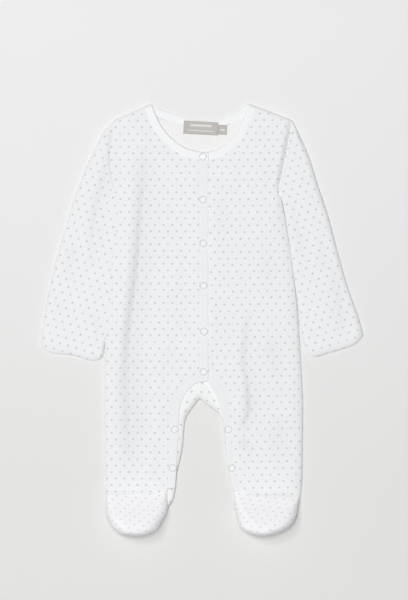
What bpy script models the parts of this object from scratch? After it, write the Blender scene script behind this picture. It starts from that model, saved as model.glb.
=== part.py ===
"""Footed baby sleepsuit of soft velour, laid on its back on a flat surface.

Frame: metres, +Z up, neck towards +Y, the wearer's right at -X. The back lies on z = 0, and the origin is the
bottom centre of the garment's bounding box. Every table and size below is in millimetres.

Each panel is an open surface lofted through sections across the body, given thickness by a Solidify modifier
towards its wrong side, so the tables describe the right side of the cloth. Panels end at their seams, SEAM
apart, and two panels that meet at a seam have their sections at the same places along it.
"""

import math

import bmesh
import bpy
import numpy as np
from mathutils import Matrix, Vector

MM = 0.001

# ---------------------------------------------------------------- driving sizes
CLOTH = 1.6  # wall of every piece of cloth, velour or plain
SEAM = 0.3  # gap between two pieces that are sewn together
CURVE_CLEAR = 0.1  # added to that gap where the seam is curved
ROLL = 5.0  # plan width of the round fold along a side seam
ROLL_ANGLES = (0.0, 3.0, 45.0, 90.0)  # where a panel has points round that fold
UPRIGHT = 0.1  # share of a fold's height that stands upright at its edge, so that two walls meet square
SLOPE = 1.09  # a step down an armhole, over the same step square to the shoulder's fold
BESIDE_BINDING = (0.0, 0.3, 0.65, SLOPE)  # the first rows' places beside the binding, in widths of the fold
SHOULDER_STEPS = (0.0, 0.7, 2.4, 5.5)  # where the shoulder has its first points, from the armhole
BINDING_WIDTH = 10.5
BINDING_ANGLES = (45.0, 0.0, -45.0, -90.0)  # where the binding has sections round the shoulder's fold
BINDING_SINKS = (10.0, 36.0)  # between these distances off the centre front it sinks from the lap's height
BINDING_CLEAR = 1.0  # a panel's corner stays this far off the binding round the shoulder's fold
ANKLE_GAP = 0.6  # gap at the ankle seams
CORNER_GAP = 0.9  # front and back each draw back this much more at the corners of a side or shoulder seam
CORNER_REACH = 26.0
UPPER_LAP = (-4.9, 7.8)  # x of the upper placket's seam and of its free edge
UNDER_LAP = (7.2, -4.6)  # the same of the placket that lies beneath it
UPPER_TOP = 7.3  # top of the upper placket
UNDER_TOP = 5.4  # top of the placket beneath it
CROTCH_LIFT = 1.1  # both plackets rise this much over the gusset
CROTCH_RISE = 60.0  # length over which they rise
NECK_TOP = 6.2  # top of the binding away from the centre front
ARMPIT = 168.7
HEEL = -243.1  # where the back's legs end and the soles begin
HEEL_ROLL = 12.0  # plan width of the side's fold at the heel
HEEL_WIDENS = -215.0  # y where that fold begins to widen
HEEL_LENGTH = 28.0  # length over which it does
ANKLE_OUTER = 126.0  # distance of the ankle seams' outer ends from the middle
FIT = 22.0  # over this width a panel settles to the height of the band that it is sewn to

# Shoulder silhouettes, from the armhole to the neck: x, y
SHOULDER_RIGHT = ((-115.4, 258.4), (-111.8, 260.7), (-90.5, 269.8), (-66.5, 280.2))
SHOULDER_LEFT = ((117.9, 257.7), (115.3, 259.3), (97.1, 266.8), (76.3, 274.4), (60.5, 280.3))

# Armholes, from the shoulder to the armpit: x, y
ARMHOLE_RIGHT = (
    (-115.4, 258.4),
    (-116.7, 240.2),
    (-120.0, 220.7),
    (-120.6, 201.2),
    (-118.7, 184.3),
    (-114.8, 168.7),
)
ARMHOLE_LEFT = (
    (117.9, 257.7),
    (114.3, 241.5),
    (110.8, 224.6),
    (107.2, 203.8),
    (103.6, 186.9),
    (100.2, 168.7),
)

# Side seams, from the armpit to the toe: x, y
SIDE_RIGHT = (
    (-114.8, 168.7),
    (-117.4, 110.2),
    (-120.0, 77.7),
    (-123.9, 12.7),
    (-126.5, -45.8),
    (-127.3, -71.8),
    (-127.3, -130.3),
    (-126.4, -171.9),
    (-125.2, -213.5),
    (-125.2, -260.0),
)
SIDE_LEFT = (
    (100.2, 168.7),
    (104.9, 145.3),
    (110.8, 110.2),
    (116.6, 70.4),
    (121.3, 33.0),
    (124.8, -6.8),
    (128.3, -65.3),
    (129.6, -88.7),
    (129.6, -171.9),
    (128.7, -212.9),
    (126.4, -231.7),
    (124.0, -243.8),
    (122.5, -252.5),
)

# Neck edges of the two fronts, from the free end of the lap to the shoulder's fold: x, y
NECK_RIGHT = (
    (7.8, 217.6),
    (0.9, 217.4),
    (-16.0, 220.7),
    (-31.6, 229.0),
    (-44.6, 240.2),
    (-54.3, 253.2),
    (-64.5, 275.6),
)
NECK_LEFT = (
    (-4.6, 217.6),
    (0.9, 217.4),
    (15.2, 219.4),
    (30.8, 228.5),
    (43.8, 241.5),
    (52.9, 260.3),
    (58.8, 275.6),
)
# Neck edge of the back, from the wearer's right to the left: x, y
NECK_BACK = (
    (-60.6, 276.6),
    (-32.9, 265.7),
    (-13.4, 259.7),
    (3.5, 259.0),
    (20.4, 259.7),
    (37.3, 266.2),
    (54.6, 277.0),
)

# Upper placket from the crotch on, where it turns along the arch and down to the right ankle:
# seam x, seam y, free edge x, free edge y, top, y at the side seam of the front's section that ends there
ARCH_RIGHT = (
    (-4.9, -64.0, 7.8, -66.0, 8.4, -60.0),
    (-5.2, -70.4, 7.5, -79.8, 8.4, -70.0),
    (-9.0, -71.2, -2.6, -80.9, 8.2, -78.0),
    (-16.2, -74.0, -10.2, -83.8, 7.3, -86.0),
    (-24.2, -81.3, -17.2, -90.2, 6.8, -95.0),
    (-31.8, -91.4, -23.2, -98.4, 6.5, -105.0),
    (-37.4, -101.8, -27.6, -108.0, 6.5, -115.0),
    (-40.5, -114.5, -29.9, -119.0, 6.5, -126.0),
    (-41.7, -133.0, -30.7, -137.0, 6.5, -140.0),
    (-42.2, -152.0, -31.4, -154.0, 6.5, -156.0),
    (-43.1, -172.0, -32.5, -173.0, 6.5, -174.0),
    (-44.2, -191.0, -33.4, -191.0, 6.7, -194.0),
    (-45.3, -206.0, -34.4, -206.0, 7.3, -210.0),
    (-46.2, -219.4, -35.2, -218.4, 8.2, -228.3),
)
# Lower placket, which the upper one covers down the centre front and which ends at the left ankle
ARCH_LEFT = (
    (7.2, -62.0, -4.6, -62.0, 6.5, -60.0),
    (8.4, -69.6, 1.6, -77.4, 6.5, -70.0),
    (13.2, -72.6, 8.2, -83.2, 6.5, -79.0),
    (21.5, -79.8, 13.8, -91.4, 6.5, -88.0),
    (28.5, -91.4, 19.2, -102.6, 6.5, -98.0),
    (33.2, -104.5, 22.6, -112.8, 6.5, -109.0),
    (36.2, -117.5, 25.6, -122.6, 6.5, -121.0),
    (37.4, -131.0, 28.0, -134.0, 6.5, -134.0),
    (37.8, -147.0, 29.3, -148.0, 6.5, -149.0),
    (38.4, -161.5, 30.3, -161.5, 6.5, -163.0),
    (39.9, -178.0, 31.9, -178.0, 6.5, -179.0),
    (42.2, -192.0, 34.0, -192.0, 6.7, -195.0),
    (45.0, -208.0, 36.3, -208.0, 7.3, -212.0),
    (48.6, -223.6, 41.3, -223.0, 8.2, -231.9),
)

# Gusset, from the right heel over the crotch to the left heel: fold x, fold y, hidden edge x, hidden edge y,
# height, y at the side seam of the back's section that ends there
GUSSET = (
    (-43.6, -242.4, -48.5, -238.3, 8.4, -242.4),
    (-39.4, -237.6, -48.5, -234.4, 6.8, -237.6),
    (-36.6, -229.5, -47.5, -227.0, 5.0, -230.0),
    (-35.0, -218.0, -46.5, -217.5, 4.6, -219.0),
    (-33.1, -200.0, -44.5, -200.0, 4.6, -201.0),
    (-28.6, -181.0, -42.5, -183.0, 4.6, -183.0),
    (-25.0, -160.0, -41.5, -163.0, 4.6, -163.0),
    (-23.9, -143.0, -40.5, -142.0, 4.6, -146.0),
    (-21.8, -129.4, -39.0, -120.0, 4.6, -131.0),
    (-14.2, -116.6, -32.0, -99.0, 4.6, -118.0),
    (-8.2, -108.6, -20.0, -84.0, 4.6, -108.0),
    (-3.4, -103.4, -4.0, -74.5, 4.6, -99.0),
    (3.5, -108.8, 11.0, -78.0, 4.6, -108.0),
    (14.5, -116.8, 25.0, -92.0, 4.6, -118.0),
    (22.0, -122.6, 33.0, -110.0, 4.6, -127.0),
    (26.8, -131.6, 36.0, -125.0, 4.6, -136.0),
    (28.4, -146.0, 37.0, -145.0, 4.6, -149.0),
    (29.6, -163.0, 38.0, -162.0, 4.6, -165.0),
    (31.4, -180.0, 40.0, -179.0, 4.6, -181.0),
    (33.6, -193.5, 42.0, -192.5, 4.6, -195.0),
    (36.2, -209.5, 45.0, -208.5, 4.6, -211.0),
    (41.2, -223.0, 48.5, -222.5, 4.8, -224.0),
    (42.0, -232.0, 49.0, -231.0, 5.8, -232.5),
    (42.6, -242.4, 49.5, -240.4, 8.4, -242.4),
)
GUSSET_ANGLES = (-90.0, -45.0, 0.0, 45.0, 90.0)  # round the gusset's fold, from beneath to its top
GUSSET_LIP = 0.6  # the gusset runs on this far beneath, to its seam with the back
CROTCH = 11  # the gusset's section at the top of the crotch

# Ankle seams, from the inner end to the outer end: x, y
ANKLE_RIGHT = ((-125.2, -228.5), (-94.0, -227.2), (-68.0, -226.1), (-53.7, -224.6), (-46.6, -222.6))
ANKLE_LEFT = (
    (41.5, -223.6),
    (49.0, -224.4),
    (65.5, -228.3),
    (84.1, -229.4),
    (108.4, -230.2),
    (126.4, -232.1),
)
ANKLE_SECTIONS = (0.0, 0.35, 0.7)  # of a foot's upper between the ankle and the heel, as shares of the way

# Heights down the length of the body: y, top, side seam
BODY_HEIGHT = (
    (300.0, 7.0, 3.5),
    (-150.0, 7.0, 3.5),
    (-190.0, 7.2, 3.8),
    (-210.0, 7.8, 4.3),
    (-228.0, 9.4, 5.6),
    (-234.0, 14.0, 7.0),
    (-243.8, 22.0, 9.3),
)

# Feet, from the heel to the toe: y, outer x, inner x, seam height, upper's top, sole's underside, roll width
FOOT_RIGHT = (
    (-243.8, -125.2, -44.6, 9.3, 22.0, 0.0, 12.0),
    (-252.5, -124.8, -47.3, 14.0, 30.5, 1.2, 17.0),
    (-260.3, -121.6, -51.6, 19.5, 38.0, 7.0, 21.0),
    (-266.8, -118.0, -55.5, 24.5, 43.6, 14.0, 24.0),
    (-272.0, -113.5, -58.9, 29.0, 46.8, 20.5, 24.0),
    (-275.9, -108.3, -65.4, 32.5, 46.6, 25.5, 20.0),
    (-278.5, -99.2, -72.8, 35.0, 43.4, 30.2, 12.0),
    (-279.8, -92.4, -77.6, 36.2, 40.2, 33.0, 7.0),
    (-280.2, -88.5, -81.5, 36.4, 38.2, 34.6, 3.0),
    (-280.3, -88.0, -82.0, 36.4, 36.8, 36.0, 2.8),
)
FOOT_LEFT = (
    (-243.8, 124.0, 41.6, 9.3, 22.0, 0.0, 12.0),
    (-252.5, 122.5, 44.3, 14.0, 30.5, 1.2, 17.0),
    (-260.3, 119.4, 45.9, 19.5, 38.0, 7.0, 21.0),
    (-266.8, 114.7, 47.8, 24.5, 43.6, 14.0, 24.0),
    (-272.0, 107.6, 51.2, 29.0, 46.8, 20.5, 24.0),
    (-275.9, 98.6, 58.6, 32.5, 46.6, 25.5, 20.0),
    (-278.5, 89.3, 66.6, 35.0, 43.4, 30.2, 12.0),
    (-279.8, 84.2, 72.0, 36.2, 40.2, 33.0, 7.0),
    (-280.2, 81.0, 75.6, 36.4, 38.2, 34.6, 3.0),
    (-280.3, 80.5, 76.1, 36.4, 36.8, 36.0, 2.0),
)
FOOT_ANGLES = (0.0, 3.0, 35.0, 65.0, 90.0)  # round the fold along a foot's seam
FOOT_CELLS = 3  # across a foot, between its two folds
WIDEST_FOLD = 0.48  # a foot's fold takes at most this share of its width

# Sleeves: outer edge from the shoulder to the cuff, and the cuff from its outer to its inner corner: x, y
SLEEVE_RIGHT = (
    (-115.4, 258.4),
    (-128.6, 243.6),
    (-137.9, 224.8),
    (-147.3, 206.4),
    (-156.7, 183.0),
    (-166.0, 159.6),
    (-175.4, 127.1),
    (-189.4, 80.3),
    (-201.1, 28.3),
    (-205.8, 0.2),
    (-208.9, -36.0),
)
CUFF_RIGHT = ((-208.9, -36.0), (-203.6, -39.8), (-169.4, -45.8), (-134.5, -51.5), (-129.4, -48.4))
SLEEVE_LEFT = (
    (117.9, 257.7),
    (128.3, 234.2),
    (136.5, 215.5),
    (149.4, 175.7),
    (163.4, 133.6),
    (176.3, 84.4),
    (189.2, 40.0),
    (203.2, 0.2),
    (208.9, -20.0),
)
CUFF_LEFT = (
    (208.9, -20.0),
    (199.5, -30.4),
    (184.2, -37.2),
    (163.4, -43.2),
    (144.7, -47.8),
    (137.0, -45.0),
)
# Space between a sleeve's inner edge and the side seam: y, space
PART_RIGHT = ((170.0, 0.7), (-10.0, 0.7), (-30.0, 1.2), (-50.0, 2.8))
PART_LEFT = ((170.0, 1.0), (30.0, 1.0), (5.0, 2.0), (-30.0, 5.3), (-46.0, 9.4))
# Sections down a sleeve as a share of its length, and its height there
SLEEVE_HEIGHT = ((0.0, 7.0), (0.6, 6.6), (1.0, 6.2))
SLEEVE_SECTIONS = (0.015, 0.035, 0.09, 0.18, 0.29, 0.41, 0.53, 0.65, 0.77, 0.88)
SLEEVE_ANGLES = (0.0, 45.0, 90.0)  # round a sleeve's folds
SLEEVE_CELLS = 5  # across a sleeve, between its two folds
SLEEVE_STATIONS = 12  # stretches of its inner edge
SLEEVE_LENGTH = 250.0
COLLAR = 0.8  # a sleeve leaves its armhole at right angles for this far
HEM = 6.5  # depth of the turned cuff
HEM_RISE = 0.6
HEM_STEP = 1.2  # length over which the cloth rises to the turned cuff
CUFF_ROW = 2.0  # distance of the last but one section from the cuff's end
# Dip of the cloth along each armhole seam: depth, width
GROOVE = {"right": (0.7, 9.0), "left": (2.0, 8.0)}

# Soft troughs pressed into the fronts: start x, start y, end x, end y, half width, depth
TROUGHS = (
    (-84.0, 172.0, -82.0, -40.0, 11.0, 1.3),
    (-100.0, -30.0, -101.0, -184.0, 10.0, 1.2),
    (64.0, -28.0, 67.0, -104.0, 9.0, 1.1),
    (50.0, -116.0, 63.0, -131.0, 7.0, 1.2),
    (52.0, -140.0, 58.0, -164.0, 7.0, 0.9),
)

# Sections of the body between the yoke and the crotch: y
FRONT_SECTIONS = (168.7, 140.0, 108.0, 76.0, 44.0, 12.0, -16.0, -40.0)
BACK_SECTIONS = (168.7, 130.0, 90.0, 50.0, 10.0, -30.0, -68.0)
# Sections of the yoke beyond the shoulder's fold, as shares of the way to the armpit
FRONT_YOKE = (0.2, 0.42, 0.66, 0.88)
BACK_YOKE = (0.2, 0.45, 0.72)
# Cells across a front and across half the back, below the shoulder and below the neck
FRONT_CELLS = (4, 7)
BACK_CELLS = (2, 5)
PLACKET_CELLS = 7  # down a placket, from the neck to the crotch

# Snaps: name, x, y, top of the band beneath
SNAPS = (
    ("snap_cf_1", 0.5, 211.8, 7.3),
    ("snap_cf_2", 0.5, 156.1, 7.3),
    ("snap_cf_3", 0.9, 99.4, 7.3),
    ("snap_cf_4", 1.2, 44.5, 7.3),
    ("snap_cf_5", 1.9, -15.3, 7.6),
    ("snap_cf_6", 1.4, -67.4, 8.4),
    ("snap_leg_right_1", -36.3, -142.3, 6.5),
    ("snap_leg_right_2", -38.6, -192.5, 6.8),
    ("snap_leg_left_1", 33.4, -142.3, 6.5),
    ("snap_leg_left_2", 38.2, -192.5, 6.8),
)
# Half section of a snap's ring: distance from its axis, height
SNAP_PROFILE = ((5.2, 0.0), (4.95, 0.95), (4.35, 1.2), (3.7, 0.95), (3.5, 0.0))
SNAP_STEPS = 14

# Tapes on the inside of the back neck: centre x, centre y, width, depth, thickness
LABEL = (-2.0, 249.2, 44.5, 17.0, 0.6)
TAB = (26.2, 246.9, 11.0, 12.6, 0.6)
TAPE_TURN = math.radians(-3.0)

COLLECTION = "footed_baby_sleepsuit"

SHOULDER = {"right": SHOULDER_RIGHT, "left": SHOULDER_LEFT}
ARMHOLE = {"right": ARMHOLE_RIGHT, "left": ARMHOLE_LEFT}
NECK = {"right": NECK_RIGHT, "left": NECK_LEFT}
ARCH = {"right": ARCH_RIGHT, "left": ARCH_LEFT}
LAP = {"right": UPPER_LAP, "left": UNDER_LAP}
LAP_HEIGHT = {"right": UPPER_TOP, "left": UNDER_TOP}
OUT = {"right": -1.0, "left": 1.0}  # the direction of x from the centre front to the side seam


# ---------------------------------------------------------------- curves
def ease(share):
    share = min(max(share, 0.0), 1.0)
    return share * share * (3 - 2 * share)


def curve(table, key=0, value=1):
    """A smooth function through two columns of a table, level beyond its ends."""
    rows = sorted(table, key=lambda row: row[key])
    xs = np.array([row[key] for row in rows])
    ys = np.array([row[value] for row in rows])
    slopes = np.gradient(ys, xs)

    def at(x):
        x = min(max(x, xs[0]), xs[-1])
        i = min(max(int(np.searchsorted(xs, x)) - 1, 0), len(xs) - 2)
        span = xs[i + 1] - xs[i]
        t = (x - xs[i]) / span
        start = (1 + 2 * t) * (1 - t) ** 2 * ys[i] + t * (1 - t) ** 2 * span * slopes[i]
        end = t * t * (3 - 2 * t) * ys[i + 1] + t * t * (t - 1) * span * slopes[i + 1]
        return float(start + end)

    return at


def along(points, smooth=True):
    """A function from a share of a path's length to the point there."""
    points = np.array(points, float)
    steps = np.linalg.norm(np.diff(points, axis=0), axis=1)
    length = np.concatenate([[0.0], np.cumsum(steps)])
    share = length / length[-1]
    if not smooth:
        return lambda t: np.array([np.interp(t, share, points[:, i]) for i in range(points.shape[1])])
    columns = [curve(list(zip(share, points[:, i]))) for i in range(points.shape[1])]
    return lambda t: np.array([column(t) for column in columns])


def offset(points, distances):
    """The path moved sideways, to its left for a positive distance, with mitred corners."""
    points = np.array(points, float)
    distances = np.broadcast_to(distances, len(points))
    steps = np.diff(points, axis=0)
    steps /= np.linalg.norm(steps, axis=1)[:, None]
    sides = np.stack([-steps[:, 1], steps[:, 0]], axis=1)
    moved = []
    for i, point in enumerate(points):
        before = sides[max(i - 1, 0)]
        after = sides[min(i, len(sides) - 1)]
        middle = (before + after) / np.linalg.norm(before + after)
        moved.append(point + middle * distances[i] / max(float(middle @ after), 0.5))
    return np.array(moved)


def from_line(point, path):
    """Distance from a point to the nearest stretch of a path."""
    point = np.array(point, float)
    nearest = math.inf
    for start, end in zip(np.array(path[:-1], float), np.array(path[1:], float)):
        step = end - start
        share = min(max(float((point - start) @ step / (step @ step)), 0.0), 1.0)
        nearest = min(nearest, float(np.linalg.norm(point - start - share * step)))
    return nearest


def rolled(distance, width=ROLL):
    """How far a round fold has risen at this distance from its edge, from 0 to 1."""
    share = distance / width
    short = max(1 - share, 0.0)
    risen = math.sqrt(max(1 - short * short, 0.0))
    upright_width = 1 - math.cos(math.radians(ROLL_ANGLES[1]))
    return risen + (1 - risen) * UPRIGHT * min(share / upright_width, 1.0)


def roll_steps(width=ROLL, angles=ROLL_ANGLES):
    """Distances from a fold's edge of the points round it."""
    return [width * (1 - math.cos(math.radians(angle))) for angle in angles]


body_top = curve(BODY_HEIGHT, 0, 1)
seam_height = curve(BODY_HEIGHT, 0, 2)
side = {"right": curve(SIDE_RIGHT, 1, 0), "left": curve(SIDE_LEFT, 1, 0)}
ankle = {"right": curve(ANKLE_RIGHT), "left": curve(ANKLE_LEFT)}


# ---------------------------------------------------------------- objects
def clear_scene():
    for thing in list(bpy.data.objects):
        bpy.data.objects.remove(thing, do_unlink=True)


def material(name, colour, roughness):
    made = bpy.data.materials.get(name) or bpy.data.materials.new(name)
    made.use_nodes = True
    shader = made.node_tree.nodes["Principled BSDF"]
    shader.inputs["Base Color"].default_value = (*colour, 1.0)
    shader.inputs["Roughness"].default_value = roughness
    shader.inputs["Metallic"].default_value = 0.0
    made.diffuse_color = (*colour, 1.0)
    return made


def velour():
    return material("dotted_velour", (0.90, 0.90, 0.89), 0.92)


def plain_jersey():
    return material("plain_jersey", (0.93, 0.93, 0.92), 0.85)


def sole_velour():
    return material("sole_velour", (0.90, 0.89, 0.87), 0.92)


def snap_enamel():
    return material("snap_enamel", (0.92, 0.92, 0.92), 0.35)


def label_tape():
    return material("label_tape", (0.58, 0.57, 0.53), 0.7)


def add_object(name, mesh, finish):
    thing = bpy.data.objects.new(name, mesh)
    mesh.materials.append(finish)
    bpy.data.collections[COLLECTION].objects.link(thing)
    return thing


def below(_centre):
    return Vector((0, 0, -1))


def above(_centre):
    return Vector((0, 0, 1))


def towards_height(height):
    return lambda centre: Vector((0, 0, height - centre.z))


def cloth(name, blocks, finish, inside):
    """A panel from blocks of rows, whose neighbouring points and rows are joined by faces, walled inwards.
    Each block is (rows, whether a row is a closed ring). A point that two blocks share is one point.
    inside(centre) is a direction towards the wrong side of the cloth."""
    shell = bmesh.new()
    known = {}

    def vertex(point):
        key = tuple(round(float(c), 4) for c in point)
        if key not in known:
            known[key] = shell.verts.new([float(c) * MM for c in point])
        return known[key]

    for rows, closed in blocks:
        grid = [[vertex(point) for point in row] for row in rows]
        count = len(grid[0])
        for low, high in zip(grid[:-1], grid[1:]):
            for i in range(count if closed else count - 1):
                j = (i + 1) % count
                shell.faces.new((low[i], low[j], high[j], high[i]))
    bmesh.ops.recalc_face_normals(shell, faces=shell.faces)
    shell.normal_update()
    largest = max(shell.faces, key=lambda face: face.calc_area())
    if largest.normal.dot(inside(largest.calc_center_median() / MM)) > 0:
        bmesh.ops.reverse_faces(shell, faces=shell.faces)
    mesh = bpy.data.meshes.new(name)
    shell.to_mesh(mesh)
    shell.free()
    mesh.shade_smooth()
    wall = add_object(name, mesh, finish).modifiers.new("wall", "SOLIDIFY")
    wall.thickness = CLOTH * MM
    wall.offset = -1.0
    wall.use_even_offset = True
    wall.use_quality_normals = True


# ---------------------------------------------------------------- neck
def neck_fold(which):
    """The neck's tip at the shoulder silhouette, the way along the shoulder, and the way into the body."""
    tip = np.array(SHOULDER[which][-1])
    shoulder_way = np.array(SHOULDER[which][-2]) - tip
    shoulder_way /= np.linalg.norm(shoulder_way)
    body_way = np.array((-shoulder_way[1], shoulder_way[0])) * -OUT[which]
    return tip, shoulder_way, body_way


def fold_start(which, clear):
    """Where the shoulder's fold begins, beside the binding or clear of it."""
    tip, shoulder_way, body_way = neck_fold(which)
    away = BINDING_WIDTH + (BINDING_CLEAR if clear else 0.0)
    return tip + shoulder_way * away + body_way * ROLL


def binding_seam(which, clear=0.0):
    """Edge of the binding on a front, or of the front clear of it, from the lap's free end to the fold."""
    seam = offset(NECK[which], -OUT[which] * (BINDING_WIDTH + clear))
    seam[-1] = fold_start(which, clear)
    return seam


def back_seam(clear=0.0):
    """Edge of the binding on the back, or of the back clear of it, between the two folds."""
    seam = offset(NECK_BACK, -BINDING_WIDTH - clear)
    seam[0] = fold_start("right", clear)
    seam[-1] = fold_start("left", clear)
    return seam


def fold_points(which):
    """Points of a panel's corner round the fold beside the binding, from the silhouette inwards."""
    tip, shoulder_way, body_way = neck_fold(which)
    return [tip + shoulder_way * (BINDING_WIDTH + BINDING_CLEAR) + body_way * away for away in roll_steps()]


def neck_height(which, x):
    """Top of the binding on a front: at the lap it carries on at the placket's height."""
    start, end = BINDING_SINKS
    return LAP_HEIGHT[which] + (NECK_TOP - LAP_HEIGHT[which]) * ease((abs(x) - start) / (end - start))


def strip_row(edge, seam, height):
    """Two edges of a band and the point between them."""
    middle = (np.array(edge) + np.array(seam)) / 2
    return [(*edge, height), (*middle, height), (*seam, height)]


def binding_rows():
    """Sections of the binding from the upper lap, round the right shoulder and the back to the left shoulder."""
    halves = {}
    for which, back_end in (("right", NECK_BACK[0]), ("left", NECK_BACK[-1])):
        rows = [
            strip_row(edge, seam, neck_height(which, edge[0]))
            for edge, seam in zip(NECK[which], binding_seam(which))
        ]
        tip, shoulder_way, body_way = neck_fold(which)
        for angle in BINDING_ANGLES:
            away = ROLL * (1 - math.cos(math.radians(angle)))
            height = NECK_TOP / 2 * (1 + math.sin(math.radians(angle)))
            edge = tip + body_way * away
            if angle < 0:
                edge = tip + (np.array(back_end) - tip) * away / ROLL
            seam = tip + shoulder_way * BINDING_WIDTH + body_way * away
            rows.append(strip_row(edge, seam, height))
        halves[which] = rows
    back = [strip_row(edge, seam, 0.0) for edge, seam in list(zip(NECK_BACK, back_seam()))[1:-1]]
    return halves["right"] + back + halves["left"][::-1]


# ---------------------------------------------------------------- fronts
def band_height(which, y):
    """Top of the placket that a front is sewn to."""
    rows = ARCH[which]
    if y > rows[0][1]:
        return LAP_HEIGHT[which] + CROTCH_LIFT * ease(-y / CROTCH_RISE)
    return float(np.interp(-y, [-row[1] for row in rows], [row[4] for row in rows]))


def front_seam(which):
    """The front's edge along its placket: a straight path to the crotch, then the arch and the leg."""
    path = [(LAP[which][0], 300.0), *[(row[0], row[1]) for row in ARCH[which]]]
    return offset(path, OUT[which] * SEAM)[1:]


def trough(x, y):
    """How deep the pressed folds are at a point."""
    depth = 0.0
    for x1, y1, x2, y2, width, deepest in TROUGHS:
        depth += deepest * math.exp(-((from_line((x, y), ((x1, y1), (x2, y2))) / width) ** 2))
    return depth


def side_rise(which, x, y, outer_x, width=ROLL):
    """How far the folds of the shoulder and of the side have risen at a point."""
    away = abs(x - outer_x) if y <= ARMPIT else math.dist((x, y), (side[which](ARMPIT), ARMPIT))
    return min(rolled(from_line((x, y), SHOULDER[which])), rolled(away, width))


def seam_gap(which, x, y):
    """How far the edge of a front or of the back is from the middle of their seam."""
    corners = ((side[which](ARMPIT), ARMPIT), SHOULDER[which][0], fold_points(which)[0])
    nearest = min(math.dist((x, y), corner) for corner in corners)
    return SEAM / 2 + CORNER_GAP * (1 - ease(nearest / CORNER_REACH))


def front_point(which, x, y, outer_x, inner_x):
    """A point of a front with its height."""
    top = body_top(y) - trough(x, y)
    if y > ARMPIT:
        depth, width = GROOVE[which]
        top -= depth * (1 - ease(abs(x - outer_x) / width))
        settle = 1 - ease(from_line((x, y), binding_seam(which)) / FIT)
        top += (neck_height(which, x) - top) * settle
    settle = 1 - ease(abs(inner_x - x) / FIT)
    top += (band_height(which, y) - top) * settle
    middle = seam_height(y) + seam_gap(which, x, y)
    return (x, y, middle + (top - middle) * side_rise(which, x, y, outer_x))


def across(outer_x, inner_x, cells):
    """x positions of a section: close together round the side's fold, then even."""
    step = 1.0 if inner_x > outer_x else -1.0
    xs = [outer_x + step * away for away in roll_steps()]
    return xs + [xs[-1] + (inner_x - xs[-1]) * (i + 1) / cells for i in range(cells)]


def shoulder_line(which, end, cells):
    """Points along the shoulder's silhouette from the armhole to the binding."""
    before = [point for point in SHOULDER[which] if abs(point[0]) - abs(end[0]) > BINDING_CLEAR]
    path = along([*before, tuple(end)], smooth=False)
    length = math.dist(SHOULDER[which][0], end)
    places = [step / length for step in SHOULDER_STEPS]
    start = places[-1]
    places += [start + (1 - start) * (i + 1) / cells for i in range(cells)]
    return [path(place) for place in places]


def yoke_rows(which, tops, bottoms, shoulder_count, shares):
    """Rows of points from the shoulder and the binding down to the armpit.
    The first rows go round the shoulder's fold, and beside the binding they are spaced out evenly."""
    hole = along(ARMHOLE[which])
    lengths = [math.dist(top, bottom) for top, bottom in zip(tops, bottoms)]
    rows = []
    for k, folded in enumerate([*roll_steps(), *shares]):
        row = []
        for j, (top, bottom) in enumerate(zip(tops, bottoms)):
            share = edge_share = folded
            if k < len(ROLL_ANGLES):
                step = folded * SLOPE if j <= shoulder_count else ROLL * BESIDE_BINDING[k]
                share = step / lengths[j]
                edge_share = folded * SLOPE / lengths[0]
            straight = np.array(tops[0]) * (1 - edge_share) + np.array(bottoms[0]) * edge_share
            bend = (hole(edge_share) - straight) * (1 - j / (len(tops) - 1)) ** 2
            row.append(np.array(top) * (1 - share) + np.array(bottom) * share + bend)
        rows.append(row)
    return rows


def front_rows(which):
    outer_cells, inner_cells = FRONT_CELLS
    seam = front_seam(which)
    centre_x = seam[0][0]
    neck_path = binding_seam(which, SEAM)
    order = np.argsort(neck_path[:, 0])
    centre_top = (centre_x, float(np.interp(centre_x, neck_path[order, 0], neck_path[order, 1])))
    corner = fold_points(which)
    tops = shoulder_line(which, corner[0], outer_cells)
    tops += [corner[2], *neck_path[:1:-1], centre_top]
    cells = outer_cells + inner_cells
    bottoms = [(x, ARMPIT) for x in across(side[which](ARMPIT), centre_x, cells)]
    shoulder_count = len(ROLL_ANGLES) + outer_cells - 1
    rows = []
    for points in yoke_rows(which, tops, bottoms, shoulder_count, FRONT_YOKE):
        rows.append([front_point(which, x, y, points[0][0], centre_x) for x, y in points])
    sections = [(y, centre_x, y) for y in FRONT_SECTIONS]
    sections += [(row[5], x, y) for row, (x, y) in zip(ARCH[which], seam)]
    for side_y, inner_x, inner_y in sections:
        outer_x = side[which](side_y)
        row = []
        for x in across(outer_x, inner_x, cells):
            share = (x - outer_x) / (inner_x - outer_x)
            row.append(front_point(which, x, side_y + (inner_y - side_y) * share, outer_x, inner_x))
        rows.append(row)
    last = [(x, ankle[which](x) + ANKLE_GAP / 2) for x, _y, _z in rows[-1]]
    outer_x = last[0][0]
    inner_x = last[-1][0]
    before = rows[-2]
    rows[-1] = [front_point(which, x, y, outer_x, inner_x) for x, y in last]
    middle = [((a[0] + b[0]) / 2, (a[1] + b[1]) / 2) for a, b in zip(before, rows[-1])]
    rows.insert(-1, [front_point(which, x, y, middle[0][0], middle[-1][0]) for x, y in middle])
    return rows


# ---------------------------------------------------------------- back
def back_point(which, x, y, outer_x):
    width = ROLL + (HEEL_ROLL - ROLL) * ease((HEEL_WIDENS - y) / HEEL_LENGTH)
    middle = seam_height(y) - seam_gap(which, x, y)
    return (x, y, middle * (1 - side_rise(which, x, y, outer_x, width)))


def crotch_edge():
    """The back's edge round the crotch and down both inner legs, clear of the gusset's lower edge."""
    fold = [(row[0], row[1]) for row in GUSSET]
    return offset(fold, [row[4] / 2 + GUSSET_LIP + SEAM + CURVE_CLEAR for row in GUSSET])


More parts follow.
